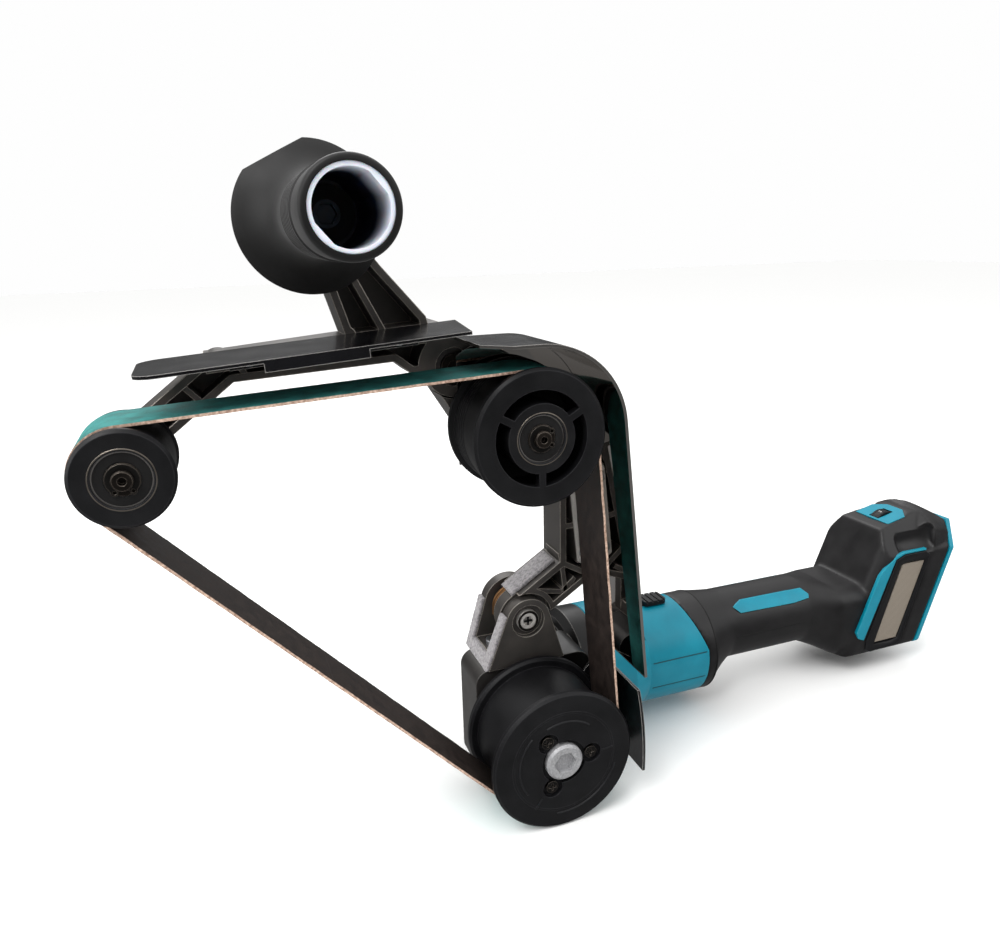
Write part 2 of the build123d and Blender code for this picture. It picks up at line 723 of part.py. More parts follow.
with BuildPart() as bearing_cover:
    turn_round(
        DRIVE,
        (YOKE_FRONT, SPINDLE_R + LIP),
        (YOKE_FRONT, COVER_PLATE_R - FLANGE_EDGE),
        (YOKE_FRONT + FLANGE_EDGE, COVER_PLATE_R),
        (COVER_RING_BACK_Y, COVER_PLATE_R),
        (COVER_RING_BACK_Y, FRONT_RACE_R),
        (FRONT_RACE_Y, FRONT_RACE_R),
        (FRONT_RACE_Y, SPINDLE_R + LIP),
    )
finish(bearing_cover, "bearing_cover")

# Yoke that carries the arms on top of the gear head
FOOT_LEFT = (YOKE_FOOT_X[0], HEAD_HALF_HEIGHT)
FOOT_RIGHT = (YOKE_FOOT_X[1], HEAD_HALF_HEIGHT)


def touch(foot_point, radius, hand):
    """Point where the straight edge from a foot meets the round top of an ear."""
    run = math.hypot(foot_point[0] - HINGE_X, foot_point[1] - HINGE_Z)
    heading = math.degrees(math.atan2(foot_point[1] - HINGE_Z, foot_point[0] - HINGE_X))
    return polar(HINGE, radius, heading + hand * math.degrees(math.acos(radius / run)))


EAR_LEFT = touch(FOOT_LEFT, EAR_R, -1)
EAR_RIGHT = touch(FOOT_RIGHT, EAR_R, 1)
REAR_LEFT = touch(FOOT_LEFT, REAR_EAR_R, -1)
REAR_RIGHT = touch(FOOT_RIGHT, REAR_EAR_R, 1)


def down_to(top_point, foot_point, z):
    """Point at a height on the straight edge from an ear down to its foot."""
    share = (z - foot_point[1]) / (top_point[1] - foot_point[1])
    return (foot_point[0] + share * (top_point[0] - foot_point[0]), z)


BRIDGE_LEFT = down_to(EAR_LEFT, FOOT_LEFT, YOKE_BRIDGE_Z)
BRIDGE_RIGHT = down_to(EAR_RIGHT, FOOT_RIGHT, YOKE_BRIDGE_Z)
PAD_LOW_Z = HEAD_HALF_HEIGHT

with BuildPart() as yoke:
    with BuildSketch(side(YOKE_FRONT + EAR_THICK)):
        outline(EAR_LEFT, FOOT_LEFT, FOOT_RIGHT, EAR_RIGHT, HINGE)
        with Locations(HINGE):
            Circle(EAR_R)
    slab(YOKE_FRONT, YOKE_FRONT + EAR_THICK)
    with BuildSketch(side(YOKE_BACK)):
        outline(REAR_LEFT, FOOT_LEFT, FOOT_RIGHT, REAR_RIGHT, HINGE)
        with Locations(HINGE):
            Circle(REAR_EAR_R)
    slab(REAR_EAR_FRONT, YOKE_BACK)
    with BuildSketch(side(REAR_EAR_FRONT)):
        outline(FOOT_LEFT, FOOT_RIGHT, BRIDGE_RIGHT, BRIDGE_LEFT)
    slab(YOKE_FRONT + EAR_THICK, REAR_EAR_FRONT)
    disc(HINGE, BOLT_SINK_R, YOKE_FRONT, YOKE_FRONT + BOLT_SINK, mode=Mode.SUBTRACT)
    disc(HINGE, HINGE_BOLT_R, YOKE_FRONT, YOKE_BACK, mode=Mode.SUBTRACT)
    with BuildSketch(level(HEAD_HALF_HEIGHT)):
        with Locations(*YOKE_SCREWS):
            Circle(YOKE_SCREW_R)
    extrude(amount=YOKE_BRIDGE_Z - HEAD_HALF_HEIGHT, mode=Mode.SUBTRACT)
finish(yoke, "yoke")

BOLT_SEAT = YOKE_FRONT + BOLT_SINK

with BuildPart() as yoke_bolt:
    disc(HINGE, BOLT_HEAD_R, BOLT_SEAT - BOLT_HEAD, BOLT_SEAT)
    disc(HINGE, HINGE_BOLT_R, BOLT_SEAT, YOKE_BACK)
    with BuildSketch(side(BOLT_SEAT - BOLT_HEAD / 2)):
        with Locations(HINGE):
            RegularPolygon(BOLT_HEAD_R / 2, 6)
    extrude(amount=BOLT_HEAD / 2, mode=Mode.SUBTRACT)
finish(yoke_bolt, "yoke_bolt")

# Felt strip round the workpiece side of the yoke
with BuildPart() as yoke_pad:
    for pad_top, ear_top, front, back in (
        (EAR_LEFT, EAR_LEFT, YOKE_FRONT, YOKE_FRONT + EAR_THICK),
        (BRIDGE_LEFT, EAR_LEFT, YOKE_FRONT + EAR_THICK, REAR_EAR_FRONT),
        (REAR_LEFT, REAR_LEFT, REAR_EAR_FRONT, YOKE_BACK),
    ):
        pad_low = down_to(ear_top, FOOT_LEFT, PAD_LOW_Z)
        with BuildSketch(side(back)):
            outline(
                pad_top,
                pad_low,
                (pad_low[0] - PAD_THICK, pad_low[1]),
                (pad_top[0] - PAD_THICK, pad_top[1]),
            )
        slab(front, back)
finish(yoke_pad, "yoke_pad")

# Main arm: leg from the hinge, column behind the belt, boss of the upper pulley, elbow lug
LEG_X = math.cos(math.radians(LEG_ANGLE))
LEG_Z = math.sin(math.radians(LEG_ANGLE))
TILT_X = math.cos(math.radians(COLUMN_TILT))
TILT_Z = math.sin(math.radians(COLUMN_TILT))
LEG_TOP = (HINGE_X - HINGE_BOSS_R * LEG_Z, HINGE_Z + HINGE_BOSS_R * LEG_X)
LEG_LOW = (HINGE_X + LEG_UNDER * LEG_Z, HINGE_Z - LEG_UNDER * LEG_X)
KNEE = (COLUMN_X, LEG_TOP[1] + (COLUMN_X - LEG_TOP[0]) * LEG_Z / LEG_X)


def column_edge(z):
    """X of the arm's outer edge, parallel to the belt guard."""
    return UPPER_X + COLUMN_REACH / TILT_X - (z - UPPER_Z) * TILT_Z / TILT_X


HEEL_RUN = (column_edge(LEG_LOW[1]) - LEG_LOW[0]) / (LEG_X + LEG_Z * TILT_Z / TILT_X)
HEEL = (LEG_LOW[0] + HEEL_RUN * LEG_X, LEG_LOW[1] + HEEL_RUN * LEG_Z)
COLUMN_HEAD = ((COLUMN_X + column_edge(COLUMN_TOP_Z)) / 2, COLUMN_TOP_Z)
COLUMN_HEAD_R = (column_edge(COLUMN_TOP_Z) - COLUMN_X) / 2


def main_arm_outline():
    """Side view of the main arm in the sketch being drawn."""
    outline(
        LEG_TOP,
        KNEE,
        (COLUMN_X, COLUMN_TOP_Z),
        (column_edge(COLUMN_TOP_Z), COLUMN_TOP_Z),
        HEEL,
        LEG_LOW,
        HINGE,
    )
    with Locations(HINGE):
        Circle(HINGE_BOSS_R)
    link(UPPER, UPPER_BOSS_R, COLUMN_HEAD, COLUMN_HEAD_R)
    link(UPPER, UPPER_BOSS_R, ELBOW, ELBOW_BOSS_R)


PLATE_FEET = (
    (PLATE_CENTRE[0] - PLATE_LENGTH / 2 * TILT_Z, PLATE_CENTRE[1] + PLATE_LENGTH / 2 * TILT_X),
    (PLATE_CENTRE[0] + PLATE_LENGTH / 2 * TILT_Z, PLATE_CENTRE[1] - PLATE_LENGTH / 2 * TILT_X),
)
PLATE_SCREWS = (
    (PLATE_CENTRE[0] - PLATE_SCREW_SPAN / 2 * TILT_Z, PLATE_CENTRE[1] + PLATE_SCREW_SPAN / 2 * TILT_X),
    (PLATE_CENTRE[0] + PLATE_SCREW_SPAN / 2 * TILT_Z, PLATE_CENTRE[1] - PLATE_SCREW_SPAN / 2 * TILT_X),
)
GUARD_SCREWS = [polar(UPPER, GUARD_SCREW_PCR, angle) for angle in GUARD_SCREW_ANGLES]
HINGE_ROOM_R = max(EAR_R, HINGE_BOSS_R) + SWING_CLEAR
ELBOW_ROOM_R = ELBOW_EAR_R + SWING_CLEAR

with BuildPart() as main_arm:
    with BuildSketch(side(ARM_BACK)):
        main_arm_outline()
    slab(ARM_FRONT, ARM_BACK)
    with BuildSketch(side(ARM_BACK - ARM_WEB)):
        main_arm_outline()
        offset(amount=-ARM_WALL, mode=Mode.REPLACE)
        with Locations(UPPER):
            Circle(UPPER_CORE_R, mode=Mode.SUBTRACT)
        with Locations(HINGE):
            Circle(HINGE_ROOM_R + RIB, mode=Mode.SUBTRACT)
        with Locations(ELBOW):
            Circle(ELBOW_ROOM_R + RIB, mode=Mode.SUBTRACT)
        strip(*PLATE_FEET, PLATE_WIDTH, mode=Mode.SUBTRACT)
        strip((COLUMN_X, COLUMN_RIB_Z), (column_edge(COLUMN_RIB_Z), COLUMN_RIB_Z), RIB, mode=Mode.SUBTRACT)
        strip(KNEE, HEEL, RIB, mode=Mode.SUBTRACT)
        strip(COLUMN_HEAD, (COLUMN_X, COLUMN_TOP_Z - UPPER_BOSS_R), RIB, mode=Mode.SUBTRACT)
    slab(ARM_FRONT, ARM_BACK - ARM_WEB, mode=Mode.SUBTRACT)
    disc(HINGE, HINGE_ROOM_R, ARM_FRONT, TONGUE_FRONT, mode=Mode.SUBTRACT)
    disc(HINGE, HINGE_ROOM_R, TONGUE_BACK, ARM_BACK, mode=Mode.SUBTRACT)
    disc(HINGE, HINGE_BARREL_R, TONGUE_BACK, BARREL_BACK)
    disc(HINGE, HINGE_BOLT_R + RUN_CLEAR, TONGUE_FRONT, BARREL_BACK, mode=Mode.SUBTRACT)
    disc(ELBOW, ELBOW_ROOM_R, ARM_FRONT, ELBOW_LUG_FRONT, mode=Mode.SUBTRACT)
    disc(ELBOW, ELBOW_BOLT_R, ELBOW_LUG_FRONT, ARM_BACK, mode=Mode.SUBTRACT)
    disc(UPPER, BEARING_BORE_R, ARM_FRONT, ARM_BACK, mode=Mode.SUBTRACT)
    for centre in (*GUARD_SCREWS, *PLATE_SCREWS):
        disc(centre, SMALL_SCREW_R, ARM_FRONT, ARM_FRONT + SMALL_SCREW_LENGTH, mode=Mode.SUBTRACT)
finish(main_arm, "main_arm")

ARM_PAD_Y = (ARM_FRONT + ARM_BACK) / 2
PAD_START = (LEG_TOP[0] + PAD_INSET * LEG_X, LEG_TOP[1] + PAD_INSET * LEG_Z)
PAD_END = (KNEE[0] - PAD_INSET * LEG_X, KNEE[1] - PAD_INSET * LEG_Z)

with BuildPart() as arm_pad:
    with BuildSketch(side(ARM_PAD_Y + ARM_PAD_WIDTH / 2)):
        outline(
            PAD_START,
            PAD_END,
            (PAD_END[0] - PAD_THICK * LEG_Z, PAD_END[1] + PAD_THICK * LEG_X),
            (PAD_START[0] - PAD_THICK * LEG_Z, PAD_START[1] + PAD_THICK * LEG_X),
        )
    slab(ARM_PAD_Y - ARM_PAD_WIDTH / 2, ARM_PAD_Y + ARM_PAD_WIDTH / 2)
finish(arm_pad, "arm_pad")

with BuildPart() as arm_plate:
    with BuildSketch(side(ARM_FRONT)):
        with Locations(Location((*PLATE_CENTRE, 0), (0, 0, COLUMN_TILT))):
            RectangleRounded(PLATE_WIDTH, PLATE_LENGTH, PLATE_WIDTH / 4)
        with Locations(*PLATE_SCREWS):
            Circle(SMALL_SCREW_R, mode=Mode.SUBTRACT)
    extrude(amount=PLATE_THICK)
finish(arm_plate, "arm_plate")

# Upper belt guard: bent sheet over the upper pulley and down the back of the belt
GUARD_TOP_Z = UPPER_Z + GUARD_R
BEND_ANGLE = COLUMN_TILT


def tail_point(radius, z):
    """Point on the guard's straight tail at a height."""
    x = UPPER_X + radius / TILT_X - (z - UPPER_Z) * TILT_Z / TILT_X
    return (x, z)


with BuildPart() as upper_guard:
    with BuildSketch(side(ARM_FRONT)):
        with BuildLine():
            Line((GUARD_LEFT_X, GUARD_TOP_Z), (UPPER_X, GUARD_TOP_Z))
            CenterArc(UPPER, GUARD_R, 90, BEND_ANGLE - 90)
            Line(polar(UPPER, GUARD_R, BEND_ANGLE), tail_point(GUARD_R, GUARD_TIP_Z))
            Line(tail_point(GUARD_R, GUARD_TIP_Z), tail_point(GUARD_R - SHEET, GUARD_TIP_Z))
            Line(tail_point(GUARD_R - SHEET, GUARD_TIP_Z), polar(UPPER, GUARD_R - SHEET, BEND_ANGLE))
            CenterArc(UPPER, GUARD_R - SHEET, BEND_ANGLE, 90 - BEND_ANGLE)
            Line((UPPER_X, GUARD_TOP_Z - SHEET), (GUARD_LEFT_X, GUARD_TOP_Z - SHEET))
            Line((GUARD_LEFT_X, GUARD_TOP_Z - SHEET), (GUARD_LEFT_X, GUARD_TOP_Z))
        make_face()
    slab(GUARD_NEAR_Y, ARM_FRONT)
    with BuildSketch(side(ARM_FRONT)):
        outline(
            (COLUMN_X, GUARD_TIP_Z),
            (GUARD_R + UPPER_FLANGE_R, GUARD_TIP_Z),
            (GUARD_R + UPPER_FLANGE_R, GUARD_STEP_Z),
            (COLUMN_X, GUARD_STEP_Z),
        )
    slab(GUARD_TAIL_Y, ARM_FRONT, mode=Mode.SUBTRACT)
    with BuildSketch(side(ARM_FRONT)):
        with Locations(UPPER):
            Circle(GUARD_R - SHEET / 2)
        outline(
            (GUARD_LEFT_X, GUARD_WEB_Z),
            (UPPER_X + GUARD_R, GUARD_WEB_Z),
            (UPPER_X + GUARD_R, GUARD_TOP_Z),
            (GUARD_LEFT_X, GUARD_TOP_Z),
            mode=Mode.INTERSECT,
        )
        with Locations(UPPER):
            Circle(SHAFT_COLLAR_R + LIP, mode=Mode.SUBTRACT)
        with Locations(*GUARD_SCREWS):
            Circle(SMALL_SCREW_R, mode=Mode.SUBTRACT)
    extrude(amount=SHEET)
    with BuildSketch(level(GUARD_TOP_Z - SHEET)):
        outline(
            (GUARD_LEFT_X, GUARD_NEAR_Y),
            (GUARD_LEFT_X + GUARD_CORNER, GUARD_NEAR_Y),
            (GUARD_LEFT_X, GUARD_NEAR_Y + GUARD_CORNER),
        )
    extrude(amount=SHEET, mode=Mode.SUBTRACT)
finish(upper_guard, "upper_guard")

with BuildPart() as arm_screws:
    for centre in GUARD_SCREWS:
        disc(centre, SMALL_HEAD_R, ARM_FRONT - SHEET - SMALL_HEAD, ARM_FRONT - SHEET)
        disc(centre, SMALL_SCREW_R, ARM_FRONT - SHEET, ARM_FRONT + SMALL_SCREW_LENGTH)
    for centre in PLATE_SCREWS:
        disc(centre, SMALL_HEAD_R, ARM_FRONT - PLATE_THICK - SMALL_HEAD, ARM_FRONT - PLATE_THICK)
        disc(centre, SMALL_SCREW_R, ARM_FRONT - PLATE_THICK, ARM_FRONT + SMALL_SCREW_LENGTH)
finish(arm_screws, "arm_screws")

# Lower belt guard on the front of the gear head
LOW_TOP, LOW_MID, LOW_TIP = LOW_GUARD_EDGE

with BuildPart() as lower_guard:
    with BuildSketch(side(HEAD_FRONT_Y)):
        with BuildLine():
            ThreePointArc(LOW_TOP, LOW_MID, LOW_TIP)
            Line(LOW_TIP, (LOW_TIP[0] - SHEET, LOW_TIP[1]))
            ThreePointArc(
                (LOW_TIP[0] - SHEET, LOW_TIP[1]),
                (LOW_MID[0] - SHEET, LOW_MID[1]),
                (LOW_TOP[0] - SHEET, LOW_TOP[1]),
            )
            Line((LOW_TOP[0] - SHEET, LOW_TOP[1]), LOW_TOP)
        make_face()
    slab(GUARD_NEAR_Y, HEAD_FRONT_Y)
    with BuildSketch(side(HEAD_FRONT_Y)):
        with BuildLine():
            ThreePointArc(LOW_TOP, LOW_MID, LOW_TIP)
            Line(LOW_TIP, (LOW_GUARD_ROOT_X, LOW_TIP[1] + LIP))
            Line((LOW_GUARD_ROOT_X, LOW_TIP[1] + LIP), (LOW_GUARD_ROOT_X, LOW_MID[1] + GUARD_CORNER))
            Line((LOW_GUARD_ROOT_X, LOW_MID[1] + GUARD_CORNER), LOW_TOP)
        make_face()
        Circle(COVER_PLATE_R, mode=Mode.SUBTRACT)
        with Locations(*LOW_GUARD_SCREWS):
            Circle(SMALL_SCREW_R, mode=Mode.SUBTRACT)
    extrude(amount=SHEET)
finish(lower_guard, "lower_guard")

with BuildPart() as head_screws:
    with BuildSketch(level(YOKE_BRIDGE_Z)):
        with Locations(*YOKE_SCREWS):
            Circle(YOKE_SCREW_HEAD_R)
    extrude(amount=YOKE_SCREW_HEAD)
    with BuildSketch(level(YOKE_BRIDGE_Z)):
        with Locations(*YOKE_SCREWS):
            Circle(YOKE_SCREW_R)
    extrude(amount=-YOKE_SCREW_LENGTH)
    for centre in LOW_GUARD_SCREWS:
        disc(centre, SMALL_HEAD_R, HEAD_FRONT_Y - SHEET - SMALL_HEAD, HEAD_FRONT_Y - SHEET)
        disc(centre, SMALL_SCREW_R, HEAD_FRONT_Y - SHEET, HEAD_FRONT_Y + SMALL_SCREW_LENGTH)
finish(head_screws, "head_screws")

# Idle pulley parts, shared by the upper and the front pulley
RACE_OUT_R = BEARING_R - RACE_WALL
RACE_IN_R = BEARING_BORE_R + RACE_WALL
FRONT_RACE = BEARING_INSET - PULLEY_HALF
REAR_RACE = PULLEY_HALF - BEARING_INSET


def bearing_rings(centre):
    """Outer rings with their seals, one at each end of a pulley."""
    for start in (FRONT_RACE, REAR_RACE - BEARING_WIDTH):
        turn_round(
            centre,
            (start, BEARING_R),
            (start, RACE_OUT_R),
            (start + SEAL_INSET, RACE_OUT_R),
            (start + SEAL_INSET, RACE_IN_R + RUN_CLEAR),
            (start + BEARING_WIDTH - SEAL_INSET, RACE_IN_R + RUN_CLEAR),
            (start + BEARING_WIDTH - SEAL_INSET, RACE_OUT_R),
            (start + BEARING_WIDTH, RACE_OUT_R),
            (start + BEARING_WIDTH, BEARING_R),
        )


def shaft_with_races(centre):
    """Pulley shaft with its collar, circlip groove, centre hole and the inner bearing rings."""
    clip_back = FRONT_RACE
    clip_front = FRONT_RACE - CIRCLIP_THICK
    turn_round(
        centre,
        (clip_front - SHAFT_NOSE, CENTRE_HOLE_R),
        (clip_front - SHAFT_NOSE, BEARING_BORE_R - CIRCLIP_GROOVE),
        (clip_front - SHAFT_NOSE + CIRCLIP_GROOVE, BEARING_BORE_R),
        (clip_front, BEARING_BORE_R),
        (clip_front, BEARING_BORE_R - CIRCLIP_GROOVE),
        (clip_back, BEARING_BORE_R - CIRCLIP_GROOVE),
        (clip_back, RACE_IN_R),
        (FRONT_RACE + BEARING_WIDTH, RACE_IN_R),
        (FRONT_RACE + BEARING_WIDTH, BEARING_BORE_R),
        (REAR_RACE - BEARING_WIDTH, BEARING_BORE_R),
        (REAR_RACE - BEARING_WIDTH, RACE_IN_R),
        (REAR_RACE, RACE_IN_R),
        (REAR_RACE, SHAFT_COLLAR_R),
        (ARM_FRONT, SHAFT_COLLAR_R),
        (ARM_FRONT, BEARING_BORE_R),
        (ARM_BACK, BEARING_BORE_R),
        (ARM_BACK, 0),
        (clip_front - SHAFT_NOSE + CENTRE_HOLE_DEPTH, 0),
        (clip_front - SHAFT_NOSE + CENTRE_HOLE_DEPTH, CENTRE_HOLE_R),
    )


def circlip(centre, lug_angle):
    """Open retaining ring with an eye at each end."""
    inner = BEARING_BORE_R - CIRCLIP_GROOVE
    with BuildSketch(side(FRONT_RACE)) as ring:
        with Locations(centre):
            Circle(CIRCLIP_R)
        eyes = [polar(centre, CIRCLIP_R - CIRCLIP_EYE_R, lug_angle + CIRCLIP_GAP / 2 * s) for s in (-1, 1)]
        with Locations(*eyes):
            Circle(CIRCLIP_LUG_R)
        with Locations(centre):
            Circle(inner, mode=Mode.SUBTRACT)
        outline(
            centre,
            polar(centre, 2 * CIRCLIP_R, lug_angle - CIRCLIP_GAP / 2 + LIP * CIRCLIP_R),
            polar(centre, 2 * CIRCLIP_R, lug_angle + CIRCLIP_GAP / 2 - LIP * CIRCLIP_R),
            mode=Mode.SUBTRACT,
        )
        with Locations(*eyes):
            Circle(CIRCLIP_EYE_R, mode=Mode.SUBTRACT)
    extrude(ring.sketch, amount=CIRCLIP_THICK)


def pulley_blank(centre, drum_r, flange_r):
    """Flanged drum with a seat for a bearing at each end."""
    seat = BEARING_INSET + BEARING_WIDTH
    shoulder_r = BEARING_R - BORE_SHOULDER
    turn_round(
        centre,
        (-PULLEY_HALF, BEARING_R),
        (-PULLEY_HALF, flange_r - FLANGE_EDGE),
        (FLANGE_EDGE - PULLEY_HALF, flange_r),
        (-DRUM_HALF - FLANGE_EDGE, flange_r),
        (-DRUM_HALF, drum_r),
        (DRUM_HALF, drum_r),
        (DRUM_HALF + FLANGE_EDGE, flange_r),
        (PULLEY_HALF - FLANGE_EDGE, flange_r),
        (PULLEY_HALF, flange_r - FLANGE_EDGE),
        (PULLEY_HALF, BEARING_R),
        (PULLEY_HALF - seat, BEARING_R),
        (PULLEY_HALF - seat, shoulder_r),
        (seat - PULLEY_HALF, shoulder_r),
        (seat - PULLEY_HALF, BEARING_R),
    )


# Upper pulley: spoked, with an open ring between hub and drum
HUB_R = BEARING_R + HUB_WALL
WINDOW_R = HUB_R + WINDOW_DEPTH

with BuildPart() as upper_pulley:
    pulley_blank(UPPER, UPPER_DRUM_R, UPPER_FLANGE_R)
    turn_round(
        UPPER,
        (-DRUM_HALF, HUB_R),
        (-DRUM_HALF, UPPER_DRUM_R - DRUM_WALL),
        (DRUM_HALF, UPPER_DRUM_R - DRUM_WALL),
        (DRUM_HALF, HUB_R),
        mode=Mode.SUBTRACT,
    )
    with BuildSketch(side(PULLEY_HALF)):
        with Locations(UPPER):
            Circle(WINDOW_R)
            Circle(HUB_R, mode=Mode.SUBTRACT)
        for angle in WINDOW_SPOKE_ANGLES:
            strip(UPPER, polar(UPPER, UPPER_DRUM_R, angle), WINDOW_SPOKE, mode=Mode.SUBTRACT)
    slab(-PULLEY_HALF, PULLEY_HALF, mode=Mode.SUBTRACT)
finish(upper_pulley, "upper_pulley")

with BuildPart() as upper_bearings:
    bearing_rings(UPPER)
finish(upper_bearings, "upper_bearings")

with BuildPart() as upper_shaft:
    shaft_with_races(UPPER)
finish(upper_shaft, "upper_shaft")

with BuildPart() as upper_circlip:
    circlip(UPPER, UPPER_LUG_ANGLE)
finish(upper_circlip, "upper_circlip")

with BuildPart() as front_pulley:
    pulley_blank(FRONT, FRONT_DRUM_R, FRONT_FLANGE_R)
finish(front_pulley, "front_pulley")

with BuildPart() as front_bearings:
    bearing_rings(FRONT)
finish(front_bearings, "front_bearings")

with BuildPart() as front_shaft:
    shaft_with_races(FRONT)
finish(front_shaft, "front_shaft")

with BuildPart() as front_circlip:
    circlip(FRONT, FRONT_LUG_ANGLE)
finish(front_circlip, "front_circlip")

# Front arm: hub of the front pulley, leg, bridge, elbow ear and strut to the grip
COVER_RISE = math.tan(math.radians(COVER_SLOPE))


def cover_z(x):
    """Height of the belt cover's top face at x."""
    return COVER_Z + (x - COVER_MID_X) * COVER_RISE


def front_arm_outline():
    """Side view of the front arm in the sketch being drawn."""
    with Locations(FRONT):
        Circle(FRONT_BOSS_R)
    link(LEG_FOOT, LEG_R, LEG_HEAD, LEG_R)
    outline(
        *BRIDGE_LOW,
        ELBOW,
        *BRIDGE_END,
        (BRIDGE_TOP_X[1], cover_z(BRIDGE_TOP_X[1])),
        (BRIDGE_TOP_X[0], cover_z(BRIDGE_TOP_X[0]) - SHEET),
    )
    with Locations(ELBOW):
        Circle(ELBOW_EAR_R)
    outline(*STRUT_LEFT, GRIP, *STRUT_RIGHT)
    with Locations(GRIP):
        Circle(GRIP_BOSS_R)


COVER_SCREWS = [(x, cover_z(x) - (COVER_FLANGE + SHEET) / 2) for x in COVER_FLANGE_X]

with BuildPart() as front_arm:
    with BuildSketch(side(ARM_BACK)):
        front_arm_outline()
    slab(FRONT_ARM_FRONT, ARM_BACK)
    with BuildSketch(side(ARM_BACK - ARM_WEB)):
        front_arm_outline()
        offset(amount=-ARM_WALL, mode=Mode.REPLACE)
        with Locations(FRONT):
            Circle(FRONT_BOSS_R, mode=Mode.SUBTRACT)
        with Locations(GRIP):
            Circle(GRIP_BOSS_R, mode=Mode.SUBTRACT)
        with Locations(ELBOW):
            Circle(ELBOW_EAR_R + RIB, mode=Mode.SUBTRACT)
        strip(*STRUT_RIB, RIB, mode=Mode.SUBTRACT)
        for rib_x in BRIDGE_RIBS:
            strip((rib_x, BRIDGE_LOW[0][1]), (rib_x, cover_z(rib_x)), RIB, mode=Mode.SUBTRACT)
        strip(
            (BRIDGE_TOP_X[0], cover_z(BRIDGE_TOP_X[0]) - COVER_FLANGE / 2),
            (BRIDGE_TOP_X[1], cover_z(BRIDGE_TOP_X[1]) - COVER_FLANGE / 2),
            COVER_FLANGE,
            mode=Mode.SUBTRACT,
        )
    slab(FRONT_ARM_FRONT, ARM_BACK - ARM_WEB, mode=Mode.SUBTRACT)
    disc(ELBOW, ELBOW_ROOM_R, ELBOW_EAR_BACK, ARM_BACK, mode=Mode.SUBTRACT)
    disc(ELBOW, ELBOW_BARREL_R, ELBOW_EAR_BACK, ELBOW_LUG_FRONT - SIDE_CLEAR)
    disc(ELBOW, BOLT_SINK_R, FRONT_ARM_FRONT, FRONT_ARM_FRONT + BOLT_SINK, mode=Mode.SUBTRACT)
    disc(ELBOW, ELBOW_BOLT_R + RUN_CLEAR, FRONT_ARM_FRONT, ELBOW_LUG_FRONT, mode=Mode.SUBTRACT)
    disc(FRONT, BEARING_BORE_R, FRONT_ARM_FRONT, ARM_BACK, mode=Mode.SUBTRACT)
    disc(GRIP, GRIP_BOLT_R, FRONT_ARM_FRONT, ARM_BACK, mode=Mode.SUBTRACT)
    for centre in COVER_SCREWS:
        end_y = FRONT_ARM_FRONT + SMALL_SCREW_LENGTH
        disc(centre, SMALL_SCREW_R, FRONT_ARM_FRONT, end_y, mode=Mode.SUBTRACT)
finish(front_arm, "front_arm")

with BuildPart() as elbow_bolt:
    seat_y = FRONT_ARM_FRONT + BOLT_SINK
    disc(ELBOW, BOLT_HEAD_R, seat_y - BOLT_HEAD, seat_y - RUN_CLEAR)
    disc(ELBOW, ELBOW_BOLT_R, seat_y - RUN_CLEAR, ARM_BACK)
    with BuildSketch(side(seat_y - BOLT_HEAD / 2)):
        with Locations(ELBOW):
            RegularPolygon(BOLT_HEAD_R / 2, 6)
    extrude(amount=BOLT_HEAD / 2, mode=Mode.SUBTRACT)
finish(elbow_bolt, "elbow_bolt")

# Belt cover plate over the top run, with a fixing flange and a short near lip
COVER_PLANE = Plane(
    origin=place(COVER_MID_X, 0, COVER_Z),
    x_dir=(math.cos(math.radians(COVER_SLOPE)), 0, math.sin(math.radians(COVER_SLOPE))),
    z_dir=(-math.sin(math.radians(COVER_SLOPE)), 0, math.cos(math.radians(COVER_SLOPE))),
)
COVER_START = COVER_LEFT_X - COVER_MID_X
COVER_STOP = COVER_RIGHT_X - COVER_MID_X

with BuildPart() as belt_cover:
    with BuildSketch(COVER_PLANE) as cover_face:
        outline(
            (COVER_START, COVER_NEAR_Y),
            (COVER_STOP - COVER_TAPER, COVER_NEAR_Y),
            (COVER_STOP, FRONT_ARM_FRONT),
            (COVER_START, FRONT_ARM_FRONT),
        )
        fillet(cover_face.vertices().group_by(Axis.X)[0], COVER_CORNER)
    extrude(amount=-SHEET)
    with BuildSketch(COVER_PLANE):
        outline(
            (COVER_FLANGE_X[0] - COVER_MID_X - COVER_CORNER, FRONT_ARM_FRONT - SHEET),
            (COVER_FLANGE_X[1] - COVER_MID_X + COVER_CORNER, FRONT_ARM_FRONT - SHEET),
            (COVER_FLANGE_X[1] - COVER_MID_X + COVER_CORNER, FRONT_ARM_FRONT),
            (COVER_FLANGE_X[0] - COVER_MID_X - COVER_CORNER, FRONT_ARM_FRONT),
        )
    extrude(amount=-COVER_FLANGE)
    with BuildSketch(COVER_PLANE):
        outline(
            (COVER_LIP_X[0] - COVER_MID_X, COVER_NEAR_Y),
            (COVER_LIP_X[1] - COVER_MID_X, COVER_NEAR_Y),
            (COVER_LIP_X[1] - COVER_MID_X, COVER_NEAR_Y + SHEET),
            (COVER_LIP_X[0] - COVER_MID_X, COVER_NEAR_Y + SHEET),
        )
    extrude(amount=-COVER_LIP)
    for centre in COVER_SCREWS:
        disc(centre, SMALL_SCREW_R, FRONT_ARM_FRONT - SHEET, FRONT_ARM_FRONT, mode=Mode.SUBTRACT)
finish(belt_cover, "belt_cover")

with BuildPart() as cover_screws:
    for centre in COVER_SCREWS:
        disc(centre, SMALL_HEAD_R, FRONT_ARM_FRONT - SHEET - SMALL_HEAD, FRONT_ARM_FRONT - SHEET)
        disc(centre, SMALL_SCREW_R, FRONT_ARM_FRONT - SHEET, FRONT_ARM_FRONT + SMALL_SCREW_LENGTH)
finish(cover_screws, "cover_screws")

